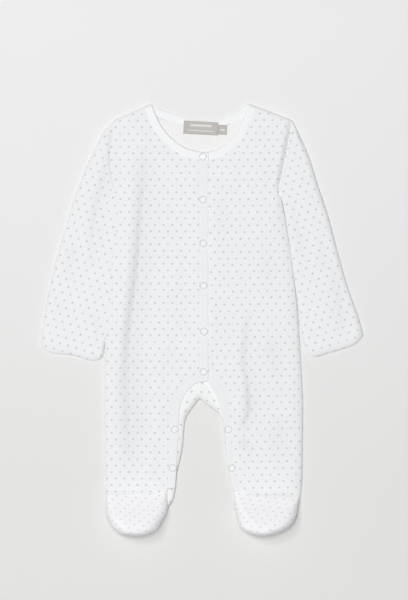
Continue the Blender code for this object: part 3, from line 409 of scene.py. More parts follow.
FRONT_FOLDS = (
    ARMHOLE_FOLD,
    LEFT_ARMHOLE_FOLD,
    (
        (-71.0, 230.0, 7.0, 18.0, 0.0),
        (-72.5, 201.0, 7.0, 18.0, 1.3),
        (-79.0, 119.0, 6.0, 18.0, 2.6),
        (-83.0, 67.0, 5.5, 18.0, 3.0),
        (-89.5, 15.0, 6.0, 18.0, 3.0),
        (-93.0, -20.0, 7.0, 18.0, 2.9),
        (-95.0, -76.0, 10.0, 20.0, 2.8),
        (-93.0, -124.0, 11.0, 20.0, 2.8),
        (-92.0, -159.0, 11.0, 18.0, 2.2),
        (-92.0, -206.0, 11.0, 16.0, 0.0),
    ),
    (
        (-92.0, 226.0, 8.0, 7.0, 0.0),
        (-93.0, 180.0, 8.0, 7.0, -0.9),
        (-95.0, 119.0, 8.0, 6.0, -0.9),
        (-98.0, 67.0, 8.0, 6.0, -1.1),
        (-104.0, 15.0, 8.0, 6.0, -1.1),
        (-107.0, -20.0, 8.0, 7.0, -0.8),
        (-109.0, -64.0, 8.0, 8.0, 0.0),
    ),
    ((-34.0, 168.0, 13.0, 16.0, 0.0), (-40.0, 120.0, 13.0, 18.0, 0.5), (-33.0, 66.0, 14.0, 18.0, 0.0)),
    ((-22.0, 74.0, 12.0, 15.0, 0.0), (-26.0, 22.0, 12.0, 18.0, 0.55), (-20.0, -24.0, 12.0, 15.0, 0.0)),
    ((-52.0, 24.0, 15.0, 15.0, 0.0), (-54.0, -30.0, 15.0, 15.0, -0.5), (-60.0, -84.0, 15.0, 15.0, 0.0)),
    ((-30.0, -34.0, 7.0, 12.0, 0.0), (-44.0, -62.0, 7.0, 12.0, 0.5), (-52.0, -96.0, 7.0, 12.0, 0.0)),
    ((-50.0, -112.0, 6.0, 9.0, 0.0), (-45.0, -126.0, 5.0, 8.0, 0.9), (-47.0, -146.0, 6.0, 9.0, 0.0)),
    ((-62.0, -150.0, 8.0, 10.0, 0.0), (-57.0, -172.0, 8.0, 9.0, 0.5), (-60.0, -196.0, 8.0, 9.0, 0.0)),
    ((-66.0, -188.0, 5.0, 7.0, 0.0), (-55.0, -205.0, 4.5, 7.0, 0.8), (-48.0, -213.0, 5.0, 7.0, 0.0)),
    ((36.0, 176.0, 12.0, 14.0, 0.0), (32.0, 120.0, 12.0, 16.0, 0.5), (38.0, 62.0, 12.0, 14.0, 0.0)),
    ((72.0, 232.0, 12.0, 12.0, 0.0), (75.0, 190.0, 13.0, 13.0, -0.6), (70.0, 130.0, 13.0, 13.0, 0.0)),
    ((84.0, 120.0, 13.0, 20.0, 0.0), (92.0, 66.0, 13.0, 20.0, 0.7), (98.0, 0.0, 13.0, 20.0, 0.0)),
    ((26.0, 38.0, 10.0, 14.0, 0.0), (22.0, -8.0, 10.0, 14.0, 0.5), (27.0, -52.0, 10.0, 14.0, 0.0)),
    (
        (61.0, 14.0, 7.0, 15.0, 0.0),
        (60.0, -12.0, 6.0, 15.0, 1.2),
        (57.5, -55.0, 6.0, 16.0, 1.6),
        (62.0, -85.0, 5.5, 15.0, 2.2),
        (64.0, -114.0, 5.5, 14.0, 2.6),
        (59.0, -130.0, 5.5, 11.0, 2.2),
        (46.0, -141.0, 6.0, 9.0, 0.0),
    ),
    ((44.0, -90.0, 10.0, 9.0, 0.0), (45.0, -109.0, 9.0, 8.0, -1.4), (44.0, -124.0, 9.0, 8.0, 0.0)),
    ((50.0, -150.0, 7.0, 6.0, 0.0), (61.0, -163.0, 10.0, 5.5, 2.0), (76.0, -173.0, 9.0, 6.5, 0.0)),
    ((52.0, -168.0, 9.0, 9.0, 0.0), (51.0, -180.0, 9.0, 9.0, -0.7), (56.0, -204.0, 9.0, 9.0, 0.0)),
    ((90.0, -14.0, 14.0, 18.0, 0.0), (99.0, -56.0, 15.0, 16.0, 1.3), (104.0, -104.0, 14.0, 16.0, 0.0)),
    ((108.0, -120.0, 13.0, 14.0, 0.0), (106.0, -156.0, 14.0, 14.0, 1.2), (108.0, -200.0, 12.0, 14.0, 0.0)),
)
# Straight creases of the back, which lift it off what it lies on:
# start x, start y, end x, end y, half width, height
BACK_CREASES = (
    (-60.0, 190.0, -20.0, 120.0, 9.0, 0.9),
    (24.0, 160.0, 66.0, 96.0, 8.0, 0.8),
    (-84.0, 60.0, -40.0, 20.0, 7.0, 0.7),
    (30.0, 40.0, 88.0, 4.0, 10.0, 0.9),
    (-96.0, -60.0, -52.0, -84.0, 7.0, 0.9),
    (46.0, -76.0, 98.0, -60.0, 8.0, 0.8),
    (-92.0, -140.0, -60.0, -160.0, 6.0, 0.7),
    (58.0, -150.0, 96.0, -134.0, 7.0, 0.8),
    (-86.0, -196.0, -62.0, -186.0, 5.0, 0.6),
    (64.0, -204.0, 100.0, -196.0, 6.0, 0.7),
    (0.0, 206.0, 4.0, 30.0, 12.0, 0.6),
)
# Soft folds on the top of each sleeve, with the fronts' columns
SLEEVE_FOLDS = {
    "right": (
        ARMHOLE_FOLD,
        ((-160.0, 118.0, 14.0, 14.0, 0.0), (-170.0, 76.0, 14.0, 15.0, 0.8), (-168.0, 30.0, 13.0, 14.0, 0.0)),
        ((-134.0, 66.0, 12.0, 12.0, 0.0), (-146.0, 30.0, 12.0, 12.0, -0.6), (-160.0, -14.0, 12.0, 12.0, 0.0)),
        ((-188.0, 40.0, 6.0, 9.0, 0.0), (-184.0, 14.0, 6.0, 9.0, 0.5), (-189.0, -18.0, 6.0, 9.0, 0.0)),
        ((-140.0, 8.0, 7.0, 9.0, 0.0), (-134.0, -14.0, 6.0, 8.0, 0.6), (-137.0, -38.0, 6.0, 8.0, 0.0)),
    ),
    "left": (
        LEFT_ARMHOLE_FOLD,
        ((122.0, 214.0, 10.0, 9.0, 0.0), (132.0, 160.0, 11.0, 10.0, -0.6), (142.0, 110.0, 11.0, 10.0, 0.0)),
        ((118.0, 168.0, 6.0, 12.0, 0.0), (128.0, 112.0, 6.0, 12.0, 0.7), (139.0, 62.0, 6.0, 12.0, 0.0)),
        ((152.0, 128.0, 9.0, 9.0, 0.0), (162.0, 84.0, 9.0, 9.0, 0.6), (170.0, 46.0, 9.0, 9.0, 0.0)),
        ((146.0, 60.0, 12.0, 12.0, 0.0), (156.0, 20.0, 12.0, 12.0, -0.5), (164.0, -24.0, 12.0, 12.0, 0.0)),
        (
            (172.0, 74.0, 10.0, 9.0, 0.0),
            (182.0, 32.0, 9.0, 9.0, 1.2),
            (185.0, 0.0, 8.0, 9.0, 1.0),
            (182.0, -30.0, 8.0, 9.0, 0.0),
        ),
    ),
}
BENEATH_FADES = (12.0, 20.0)  # the creases beneath a sleeve fade out this far from its seam and its cuff
# Straight creases beneath each sleeve: share down and share across at both ends, half width, depth
SLEEVE_CREASES_BENEATH = {
    "right": (
        (0.14, 0.60, 0.44, 0.30, 7.0, 0.9),
        (0.46, 0.20, 0.58, 0.78, 6.0, 0.7),
        (0.74, 0.70, 0.90, 0.40, 6.0, 0.6),
    ),
    "left": (
        (0.12, 0.30, 0.40, 0.64, 7.0, 0.8),
        (0.50, 0.76, 0.62, 0.24, 6.0, 0.7),
        (0.78, 0.30, 0.92, 0.64, 6.0, 0.6),
    ),
}

# The print: a dot every DOT_PITCH along a row, rows DOT_ROW apart, every other row half a pitch along
DOT_PITCH = 11.3
DOT_ROW = 8.45
DOT_RADIUS = 1.25
DOT_EDGE = (-0.75, 0.6)  # the pile blurs a dot's edge from this far inside to this far outside
DOT_UNEVEN = 0.9  # the dots' radii differ by up to about half of this either way
# Painted shade on slopes: the way that the shaded slopes face, the slopes towards it where the shade starts
# and where it is full, the share of the cloth's colour that shows there, then the painted rim highlight's
# share
BODY_PAINTED_SHADE = ((0.78, -0.62, 0.0), 0.0, 0.5, (0.885, 0.885, 0.89, 1.0), 1.0)
FOOT_PAINTED_SHADE = ((0.45, -0.89, 0.0), -0.65, 0.6, (0.83, 0.83, 0.84, 1.0), 0.0)
GUSSET_PAINTED_SHADE = ((0.45, -0.89, 0.0), 0.02, 0.35, (0.76, 0.755, 0.735, 1.0), 0.0)
# Painted highlight on upright rims
RIM_TURN = (0.15, 0.5)  # 1 less the normal's z: where the rim's light starts and where it is full
RIM_PAINTED_HIGHLIGHT = (1.0, 1.0, 1.0, 1.0)
# Painted shade deep in the folds
VALLEY_SHADE = (0.945, 0.945, 0.95, 1.0)  # share of the cloth's colour that shows deep in the folds
# Each piece's own print: x and y of one dot, turn in degrees, stretch along the row and across the rows
PRINT = {
    "front_right": (-39.0, 55.7, 0.0, 1.0, 1.0),
    "front_left": (39.4, 53.9, 1.0, 0.985, 1.01),
    "back": (-3.0, 60.0, 0.0, 1.0, 1.0),
    "gusset": (-18.6, -103.0, 0.0, 1.0, 1.0),
    "sleeve_right": (-151.5, 112.1, -17.0, 0.98, 1.08),
    "sleeve_left": (148.6, 116.2, 17.0, 1.01, 1.03),
    "foot_upper_right": (-84.4, -251.7, -6.6, 1.08, 0.78),
    "foot_upper_left": (82.2, -245.9, -7.2, 1.06, 0.89),
}


# ---------------------------------------------------------------- curves
def ease(share):
    share = np.clip(share, 0.0, 1.0)
    return share * share * (3 - 2 * share)


def through(xs, ys, slopes):
    """A smooth function through the points (xs, ys) with the given slopes, level beyond its ends."""

    def at(x):
        x = np.clip(x, xs[0], xs[-1])
        i = np.clip(np.searchsorted(xs, x) - 1, 0, len(xs) - 2)
        span = xs[i + 1] - xs[i]
        t = (x - xs[i]) / span
        start = (1 + 2 * t) * (1 - t) ** 2 * ys[i] + t * (1 - t) ** 2 * span * slopes[i]
        end = t * t * (3 - 2 * t) * ys[i + 1] + t * t * (t - 1) * span * slopes[i + 1]
        return start + end

    return at


def curve(table, key=0, value=1):
    """A smooth function through two columns of a table."""
    rows = sorted(table, key=lambda row: row[key])
    xs = np.array([row[key] for row in rows], float)
    ys = np.array([row[value] for row in rows], float)
    return through(xs, ys, np.gradient(ys, xs))


def lengths_along(points):
    """Distance of each point from the first, along the path."""
    steps = np.linalg.norm(np.diff(points, axis=0), axis=1)
    return np.concatenate([[0.0], np.cumsum(steps)])


def along(points, smooth=True):
    """A function from shares of a path's length to the points there."""
    points = np.array(points, float)
    share = lengths_along(points)
    share = share / share[-1]
    if not smooth:
        return lambda t: np.stack([np.interp(t, share, column) for column in points.T], axis=-1)
    columns = [through(share, column, np.gradient(column, share)) for column in points.T]
    return lambda t: np.stack([column(np.asarray(t, float)) for column in columns], axis=-1)


def steady_slopes(xs, ys):
    """Slopes that keep a curve through the points from overshooting them."""
    widths = np.diff(xs)
    rises = np.diff(ys) / widths
    slopes = np.zeros(len(ys))
    slopes[0] = rises[0]
    slopes[-1] = rises[-1]
    for i in range(1, len(ys) - 1):
        if rises[i - 1] * rises[i] > 0:
            before = 2 * widths[i] + widths[i - 1]
            after = widths[i] + 2 * widths[i - 1]
            slopes[i] = (before + after) / (before / rises[i - 1] + after / rises[i])
    return slopes


def finer(table, step, measured=(0, 1)):
    """The table with rows about step apart, along the path that its measured columns make."""
    table = np.array(table, float)
    lengths = lengths_along(table[:, list(measured)])
    places = [0.0]
    for start, end in zip(lengths[:-1], lengths[1:]):
        count = max(int(math.ceil((end - start) / step)), 1)
        places.extend(start + (end - start) * (i + 1) / count for i in range(count))
    places = np.array(places)
    columns = [through(lengths, column, steady_slopes(lengths, column))(places) for column in table.T]
    return np.stack(columns, axis=1)


def offset(points, distances):
    """The path moved sideways, to its left for a positive distance, with mitred corners."""
    points = np.array(points, float)
    distances = np.broadcast_to(distances, len(points))
    steps = np.diff(points, axis=0)
    steps /= np.linalg.norm(steps, axis=1)[:, None]
    sides = np.stack([-steps[:, 1], steps[:, 0]], axis=1)
    moved = []
    for i, point in enumerate(points):
        before = sides[max(i - 1, 0)]
        after = sides[min(i, len(sides) - 1)]
        middle = (before + after) / np.linalg.norm(before + after)
        moved.append(point + middle * distances[i] / max(float(middle @ after), 0.5))
    return np.array(moved)


def from_line(points, path):
    """Distance from each point to the nearest stretch of a path."""
    path = np.array(path, float)
    nearest = np.full(points.shape[:-1], np.inf)
    for start, end in zip(path[:-1], path[1:]):
        step = end - start
        share = np.clip(((points - start) @ step) / (step @ step), 0.0, 1.0)
        away = np.linalg.norm(points - start - share[..., None] * step, axis=-1)
        nearest = np.minimum(nearest, away)
    return nearest


def rolled(distance, width=ROLL):
    """How far a round fold has risen at this distance from its edge, from 0 to 1."""
    short = np.clip(1 - distance / width, 0.0, 1.0)
    return np.sqrt(1 - short * short)


def fold_steps(width=ROLL):
    """Distances from a fold's edge of the points round it."""
    return width * (1 - np.cos(np.radians(FOLD_ANGLES)))


def spread(start, end, cell=CELL):
    """Even steps from start to end, without the start."""
    count = max(int(round(abs(end - start) / cell)), 1)
    return np.linspace(start, end, count + 1)[1:]


body_top = curve(BODY_HEIGHT, 0, 1)
seam_height = curve(BODY_HEIGHT, 0, 2)
side = {"right": curve(SIDE_RIGHT, 1, 0), "left": curve(SIDE_LEFT, 1, 0)}
ankle = {"right": curve(ANKLE_RIGHT), "left": curve(ANKLE_LEFT)}


# ---------------------------------------------------------------- relief
def bell(distance, reach):
    """1 at no distance, and falling off softly over the reach."""
    return np.exp(-((distance / reach) ** 2))


def creases(plan, table):
    """Depth of the straight creases in a table at each point."""
    depth = np.zeros(plan.shape[:-1])
    for x1, y1, x2, y2, width, deepest in table:
        depth += deepest * bell(from_line(plan, ((x1, y1), (x2, y2))), width)
    return depth


def fold_depth(plan, path):
    """Depth of one soft fold at each point. Each of its sides has its own reach, so one can be steeper."""
    nearest = np.full(plan.shape[:-1], np.inf)
    depth = np.zeros(plan.shape[:-1])
    rows = finer(path, FOLD_STEP)
    for start, end in zip(rows[:-1], rows[1:]):
        step = (end - start)[:2]
        share = np.clip(((plan - start[:2]) @ step) / (step @ step), 0.0, 1.0)[..., None]
        out = plan - start[:2] - share * step
        away = np.linalg.norm(out, axis=-1)
        first_reach, second_reach, deepest = np.moveaxis(start[2:] + share * (end - start)[2:], -1, 0)
        reach = np.where(step[0] * out[..., 1] > step[1] * out[..., 0], second_reach, first_reach)
        depth = np.where(away < nearest, deepest * bell(away, reach), depth)
        nearest = np.minimum(nearest, away)
    return depth


def folds(plan, table):
    return sum(fold_depth(plan, path) for path in table)


def seam_dip(distance):
    """Depth of the small valley at a sewn seam."""
    return SEAM_DIP * bell(distance, SEAM_REACH)


def puckers(run, distance, seam="panel"):
    """The cloth's unevenness along a sewn seam: run is the place along it, distance the way from it."""
    wave = sum(share * np.sin(run / length + start) for length, share, start in PUCKERS)
    return PUCKER_DEPTH * wave * bell(distance, PUCKER_REACH[seam])


def snap_dent(x, y):
    """How far the cloth is pressed down round the snaps, and up inside their rings."""
    depth = np.zeros(np.shape(x))
    for _name, snap_x, snap_y, _top in SNAPS:
        away = np.hypot(x - snap_x, y - snap_y)
        depth += SNAP_RING[0] * bell(away - SNAP_RING[1], SNAP_RING[2])
        depth += SNAP_DIMPLE[0] * bell(away, SNAP_DIMPLE[1])
    return depth


# ---------------------------------------------------------------- meshes
def turned(x, y, turn):
    """A point's place in axes turned by this many degrees."""
    angle = math.radians(turn)
    return x * math.cos(angle) + y * math.sin(angle), y * math.cos(angle) - x * math.sin(angle)


def totals(steps, axis):
    """Running totals of the steps along an axis, from 0."""
    start = np.zeros_like(np.take(steps, [0], axis=axis))
    return np.concatenate([start, np.cumsum(steps, axis=axis)], axis=axis)


def flat_uv(grid, turn=0.0, anchor_column=-1, anchor_row=None, ring=False):
    """Flat-cloth coordinates of a grid of points: its plan, turned, with what its folds take up added."""
    wide, high = turned(grid[..., 0], grid[..., 1], turn)
    height = grid[..., 2]
    last = wide.shape[1] // 4 if ring else -1
    steps = np.hypot(np.diff(wide, axis=1), np.diff(height, axis=1))
    run = totals(steps, 1) * np.sign(wide[:, last] - wide[:, 0])[:, None]
    run += (wide - run)[:, anchor_column][:, None]
    falls = np.diff(high, axis=0)
    fall = totals(np.hypot(falls, np.diff(height, axis=0)) * np.sign(falls), 0)
    row = len(grid) // 2 if anchor_row is None else anchor_row
    fall += high[row] - fall[row]
    return np.stack([run, fall], axis=-1)


def strip_uv(grid, path):
    """Coordinates of a strip: the way across each of its rows, and the way along a path."""
    run = totals(np.linalg.norm(np.diff(grid, axis=1), axis=-1), 1)
    return np.stack([run, np.repeat(lengths_along(path)[:, None], run.shape[1], axis=1)], axis=-1)


def printed(uv, name):
    """Flat-cloth coordinates placed so that the piece's own print comes out where it lies."""
    dot_x, dot_y, turn, wide, high = PRINT[name]
    return (uv - turned(dot_x, dot_y, turn)) / (wide, high)


def add_uv(name, grid, **anchors):
    """A grid with the flat-cloth coordinates of its piece's print."""
    return grid, printed(flat_uv(grid, PRINT[name][2], **anchors), name)


def corners_of(table):
    """The corners of each cell of a table, row by row."""
    return np.stack([table[:-1, :-1], table[:-1, 1:], table[1:, 1:], table[1:, :-1]], axis=2)


def grid_mesh(name, blocks, ring=False):
    """A mesh from grids of points in mm, each with its flat-cloth coordinates. The last column of a ring's
    coordinates closes it."""
    points = []
    faces = []
    corners = []
    for grid, uv in blocks:
        numbers = np.arange(grid[..., 0].size).reshape(grid.shape[:2]) + sum(len(part) for part in points)
        if ring:
            numbers = np.concatenate([numbers, numbers[:, :1]], axis=1)
        points.append(grid.reshape(-1, 3))
        faces.extend(corners_of(numbers).reshape(-1, 4).tolist())
        corners.append(corners_of(uv).reshape(-1, 2))
    mesh = bpy.data.meshes.new(name)
    mesh.from_pydata((np.concatenate(points) * MM).tolist(), [], faces)
    layer = mesh.uv_layers.new(name="cloth")
    layer.data.foreach_set("uv", np.concatenate(corners).astype(np.float32).ravel())
    return mesh


def turn_outwards(mesh, outside):
    """Turns every face round if the largest one doesn't look the way that outside(its centre) points."""
    largest = max(mesh.polygons, key=lambda face: face.area)
    if largest.normal.dot(outside(largest.center)) < 0:
        mesh.flip_normals()


def rework(mesh, change):
    """Makes a change to a mesh while it is a BMesh."""
    shell = bmesh.new()
    shell.from_mesh(mesh)
    change(shell)
    shell.to_mesh(mesh)
    shell.free()


def border(shell):
    return [edge for edge in shell.edges if edge.is_boundary]


def weld(shell):
    """Joins points that two blocks share and turns all the faces the same way."""
    bmesh.ops.remove_doubles(shell, verts=shell.verts, dist=0.01 * MM)
    bmesh.ops.recalc_face_normals(shell, faces=shell.faces)


def sharpen_border(shell):
    """Keeps the shading of a panel's border apart from that of its cut edge."""
    for edge in border(shell):
        edge.smooth = False


def cap_ends(shell):
    """Fills the two ends of a closed strip and turns its faces outwards."""
    bmesh.ops.holes_fill(shell, edges=border(shell), sides=0)
    bmesh.ops.recalc_face_normals(shell, faces=shell.faces)


def close_underside(shell):
    """Closes a ring's flat underside."""
    bmesh.ops.bridge_loops(shell, edges=border(shell))
    bmesh.ops.recalc_face_normals(shell, faces=shell.faces)


def mark_valleys(mesh, table):
    """Stores how deep in a fold each point lies, as a share of the deepest, for the painted shade deep in the
    folds.
    """
    points = np.empty(len(mesh.vertices) * 3)
    mesh.vertices.foreach_get("co", points)
    points = points.reshape(-1, 3) / MM
    depth = np.clip(folds(points[:, :2], table) / DEEPEST, 0.0, 1.0) * (points[:, 2] > LOWEST_TOP)
    mesh.attributes.new("valley", "FLOAT", "POINT").data.foreach_set("value", depth)


def add(name, mesh, *finishes):
    thing = bpy.data.objects.new(name, mesh)
    for finish in finishes:
        mesh.materials.append(finish)
    bpy.context.scene.collection.objects.link(thing)
    return thing


def place(thing, node_name):
    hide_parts(node_name)
    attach(thing, "root")


def thicken(thing, thickness):
    """Makes a sheet a wall, inwards from its right side."""
    wall = thing.modifiers.new("wall", "SOLIDIFY")
    wall.thickness = thickness * MM
    wall.offset = -1.0
    return wall


def panel(name, blocks, outside, finish, wrong_side, ring=False, valleys=None):
    """A panel of cloth as thick as its wall, on its node's shape. Its wrong side has a finish of its own."""
    mesh = grid_mesh(name + "_cloth", blocks, ring)
    if len(blocks) > 1:
        rework(mesh, weld)
    mesh.shade_smooth()
    turn_outwards(mesh, outside)
    rework(mesh, sharpen_border)
    if valleys:
        mark_valleys(mesh, valleys)
    thing = add(name + "_cloth", mesh, finish, wrong_side)
    wall = thicken(thing, CLOTH)
    wall.use_quality_normals = True
    wall.material_offset = 1
    wall.material_offset_rim = 0
    place(thing, name)


def band(name, rings, finish):
    """A closed strip of plain jersey."""
    closed = np.concatenate([rings, rings[:, :1]], axis=1)
    mesh = grid_mesh(name + "_band", [(rings, strip_uv(closed, rings.mean(axis=1)))], ring=True)
    mesh.shade_smooth()
    rework(mesh, cap_ends)
    place(add(name + "_band", mesh, finish), name)


# ---------------------------------------------------------------- neck
def neck_fold(which):
    """The neck's tip on the shoulder's silhouette, the way along the shoulder, and the way into the body."""
    tip = np.array(SHOULDER[which][-1])
    shoulder_way = np.array(SHOULDER[which][-2]) - tip
    shoulder_way /= np.linalg.norm(shoulder_way)
    body_way = np.array((-shoulder_way[1], shoulder_way[0])) * -OUT[which]
    return tip, shoulder_way, body_way


def folded_seam(which, tuck):
    """The binding's edge where the shoulder's fold begins."""
    tip, shoulder_way, body_way = neck_fold(which)
    return tip + shoulder_way * (BINDING_WIDTH - tuck) + body_way * ROLL


def binding_seam(which, tuck=0.0):
    """Edge of the binding on a front, from the lap's free end to where the shoulder's fold begins."""
    seam = offset(NECK[which], -OUT[which] * (BINDING_WIDTH - tuck))
    seam[-1] = folded_seam(which, tuck)
    return seam


def back_seam(tuck=0.0):
    """Edge of the binding on the back, between the two folds."""
    seam = offset(NECK_BACK, tuck - BINDING_WIDTH)
    seam[0] = folded_seam("right", tuck)
    seam[-1] = folded_seam("left", tuck)
    return seam


def fold_point(which):
    """The corner of a panel beside the binding, on the shoulder's silhouette."""
    tip, shoulder_way, _body_way = neck_fold(which)
    return tip + shoulder_way * (BINDING_WIDTH - TUCK)


def neck_height(which, x):
    """Top of the binding on a front: at the lap it carries on at the placket's height."""
    keeps, changes = NECK_LAP
    return LAP_HEIGHT[which] + (NECK_TOP - LAP_HEIGHT[which]) * ease((np.abs(x) - keeps) / changes)


def band_rings(edges, seams, normals):
    """Closed sections of a flat band with round edges. edges and seams are its two edges and normals its
    right side's directions, a row for each section."""
    radius = CLOTH / 2
    way = seams - edges
    width = np.linalg.norm(way, axis=1, keepdims=True)
    way = way / width
    inner = width - 2 * radius
    sections = []

    def round_edge(edge, outwards, angles):
        for angle in np.radians(angles):
            out = outwards * (radius * math.cos(angle) - radius)
            sections.append(edge + out + normals * (radius * math.sin(angle) - radius))

    for share in np.linspace(0.0, 1.0, BAND_COLUMNS):
        rise = BAND_CROWN * (1 - (2 * share - 1) ** 4)
        sections.append(edges + way * (radius + inner * share) + normals * rise)
    round_edge(seams, way, BAND_ANGLES)
    for share in np.linspace(1.0, 0.0, 5):
        sections.append(edges + way * (radius + inner * share) - normals * CLOTH)
    round_edge(edges, -way, BAND_ANGLES[::-1])
    return np.stack(sections, axis=1)


def sink_band(rings, normals, width, axis, seam):
    """Sinks a band's right side at its sewn seam, which runs along this axis, and round the snaps."""
    for k in range(BAND_COLUMNS):
        near_seam = (1 - k / (BAND_COLUMNS - 1)) * width
        sunk = seam_dip(near_seam) + puckers(rings[:, k, axis], near_seam, seam)
        rings[:, k] -= normals * sunk[:, None]
        dent = snap_dent(rings[:, k, 0], rings[:, k, 1]) * (normals[:, 2] > LEVEL)
        rings[:, k] -= normals * dent[:, None]


def binding_table():
    """Sections of the binding from the upper lap, round the right shoulder, the back and the left shoulder:
    edge x, y and height, seam x, y and height, and the direction of its right side."""
    halves = {}
    for which, back_end in (("right", NECK_BACK[0]), ("left", NECK_BACK[-1])):
        rows = []
        for edge, seam in zip(NECK[which], binding_seam(which)):
            height = float(neck_height(which, edge[0]))
            rows.append((*edge, height, *seam, height, 0.0, 0.0, 1.0))
        tip, shoulder_way, body_way = neck_fold(which)
        for angle in np.radians((45.0, 0.0, -45.0, -90.0)):
            away = ROLL * (1 - math.cos(angle))
            height = NECK_TOP / 2 * (1 + math.sin(angle))
            edge = tip + body_way * away
            if angle < 0:
                edge = tip + (np.array(back_end) - tip) * away / ROLL
            seam = tip + shoulder_way * BINDING_WIDTH + body_way * away
            rows.append((*edge, height, *seam, height, *(-body_way * math.cos(angle)), math.sin(angle)))
        halves[which] = rows
    inner_back = list(zip(NECK_BACK, back_seam()))[1:-1]
    back = [(*edge, 0.0, *seam, 0.0, 0.0, 0.0, -1.0) for edge, seam in inner_back]
    return halves["right"] + back + halves["left"][::-1]


def binding_grid():
    rows = finer(binding_table(), FINE, (0, 1, 2))
    normals = rows[:, 6:9] / np.linalg.norm(rows[:, 6:9], axis=1, keepdims=True)
    rings = band_rings(rows[:, 0:3], rows[:, 3:6], normals)
    sink_band(rings, normals, BINDING_WIDTH, 0, "binding")
    lying_down = normals[:, 2] < 0
    rings[lying_down, :, 2] = np.maximum(rings[lying_down, :, 2], 0.0)
    return rings


# ---------------------------------------------------------------- fronts
def band_height(which, y):
    """Top of the placket that a front is sewn to."""
    rows = np.array(ARCH[which])
    straight = LAP_HEIGHT[which] + CROTCH_LIFT * ease(-y / CROTCH_RUN)
    return np.where(y > rows[0, 1], straight, np.interp(-y, -rows[:, 1], rows[:, 4]))


def front_sections(which):
    """Sections of a front from the crotch to the ankle: seam x, seam y, y at the side seam."""
    path = [(LAP[which][0], 300.0), *[(row[0], row[1]) for row in ARCH[which]]]
    seam = offset(path, -OUT[which] * TUCK)[1:]
    return finer([(x, y, row[5]) for (x, y), row in zip(seam, ARCH[which])], CELL)


def grown(width, run):
    """Plan width of a round fold that widens along its run from the shoulder's width to its own."""
    return ROLL + (width - ROLL) * ease(run / ROLL_GROWS)


def edge_roll(which, y):
    """Plan width of the round fold along a side seam."""
    start, width = EDGE_ROLL[which]
    return grown(width, start - y)


def side_rise(which, plan, outer_x, width):
    """How far the folds of the shoulder and of the side have risen at each point."""
    corner = np.array((float(side[which](ARMPIT)), ARMPIT))
    from_corner = np.linalg.norm(plan - corner, axis=-1)
    away = np.where(plan[..., 1] <= ARMPIT, np.abs(plan[..., 0] - outer_x), from_corner)
    return np.minimum(rolled(from_line(plan, SHOULDER[which])), rolled(away, width))


def front_height(which, plan, outer_x, inner_x):
    """Height of a front's right side. outer_x and inner_x are each row's ends."""
    x = plan[..., 0]
    y = plan[..., 1]
    top = body_top(y) - folds(plan, FRONT_FOLDS)
    depth, width = GROOVE[which]
    edge = np.abs(x - outer_x)
    above = ease((y - ARMPIT) / GROOVE_FADE)
    yoke_top = top - (depth * (1 - ease(edge / width)) + puckers(y, edge, "armhole")) * above
    from_neck = from_line(plan, binding_seam(which))
    yoke_top += (neck_height(which, x) - yoke_top) * (1 - ease(from_neck / FIT))
    yoke_top -= seam_dip(from_neck) + puckers(x, from_neck)
    top = np.where(y > ARMPIT, yoke_top, top)
    from_band = np.abs(inner_x - x)
    lowest, length = LAP_FROM
    covered = ease((y - lowest) / length) if which == "left" else 0.0
    meets = band_height(which, y) + LAP_LIFT * covered
    top += (meets - top) * (1 - ease(from_band / (FIT + (LAP_FIT - FIT) * covered)))
    top -= seam_dip(from_band) + puckers(y, from_band)
    from_ankle = np.clip(y - ankle[which](x), 0.0, None)
    top -= seam_dip(from_ankle) * ANKLE_DIP[which] + puckers(x, from_ankle)
    middle = seam_height(y) + EDGE_GAP
    return middle + (top - middle) * side_rise(which, plan, outer_x, edge_roll(which, y))


def across(outer_x, inner_x, shares, width):
    """x positions of a section: close together round the side's fold, then by shares."""
    step = 1.0 if inner_x > outer_x else -1.0
    folded = outer_x + step * fold_steps(width)
    return np.concatenate([folded, folded[-1] + (inner_x - folded[-1]) * shares])


def yoke_plan(which, tops, bottoms, shoulder_count):
    """Rows of points from the shoulder and the binding down, but for the armpit's section."""
    hole = along(ARMHOLE[which])
    lengths = np.linalg.norm(tops - bottoms, axis=1)
    folded = fold_steps() * SLOPE
    even = np.linspace(0.0, folded[-1], len(folded))
    columns = np.arange(len(tops))
    starts = folded[-1] / lengths
    shares = [np.where(columns <= shoulder_count, fold, flat) / lengths for fold, flat in zip(folded, even)]
    count = int(np.max(lengths) / CELL)
    shares += [starts + (1 - starts) * i / count for i in range(1, count)]
    fade = (1 - columns / (len(tops) - 1)) ** 2
    rows = []
    for share in shares:
        straight = tops[0] * (1 - share[0]) + bottoms[0] * share[0]
        bend = (hole(share[0]) - straight) * fade[:, None]
        rows.append(tops * (1 - share[:, None]) + bottoms * share[:, None] + bend)
    return rows


def shoulder_points(which, end):
    """Points along the shoulder's silhouette from the armhole to the binding."""
    inner = [point for point in SHOULDER[which] if abs(point[0]) > abs(end[0]) + 2]
    path = along(inner + [tuple(end)], smooth=False)
    length = math.dist(SHOULDER[which][0], end)
    places = np.concatenate([fold_steps(), spread(ROLL, length)])
    return path(places / length)


def yoke(which, neck_points, centre_x):
    """The rows above the armpit of a front or of half the back, and the shares of its columns below."""
    corner = fold_point(which)
    shoulder = shoulder_points(which, corner)
    neck_line = along([tuple(corner), *map(tuple, neck_points)])
    neck_length = float(lengths_along(neck_line(np.linspace(0, 1, 60)))[-1])
    tops = np.concatenate([shoulder, neck_line(spread(0.0, neck_length) / neck_length)])
    shares = np.linspace(0, 1, len(tops) - len(FOLD_ANGLES) + 1)[1:]
    bottoms = section(which, (centre_x, ARMPIT, ARMPIT), shares, ROLL)
    return yoke_plan(which, tops, bottoms, len(shoulder) - 1), shares


def level_sections(centre_x, lowest):
    """Sections from the armpit down to this y: inner x, inner y, y at the side seam."""
    return [(centre_x, y, y) for y in np.concatenate([[ARMPIT], spread(ARMPIT, lowest)[:-1]])]


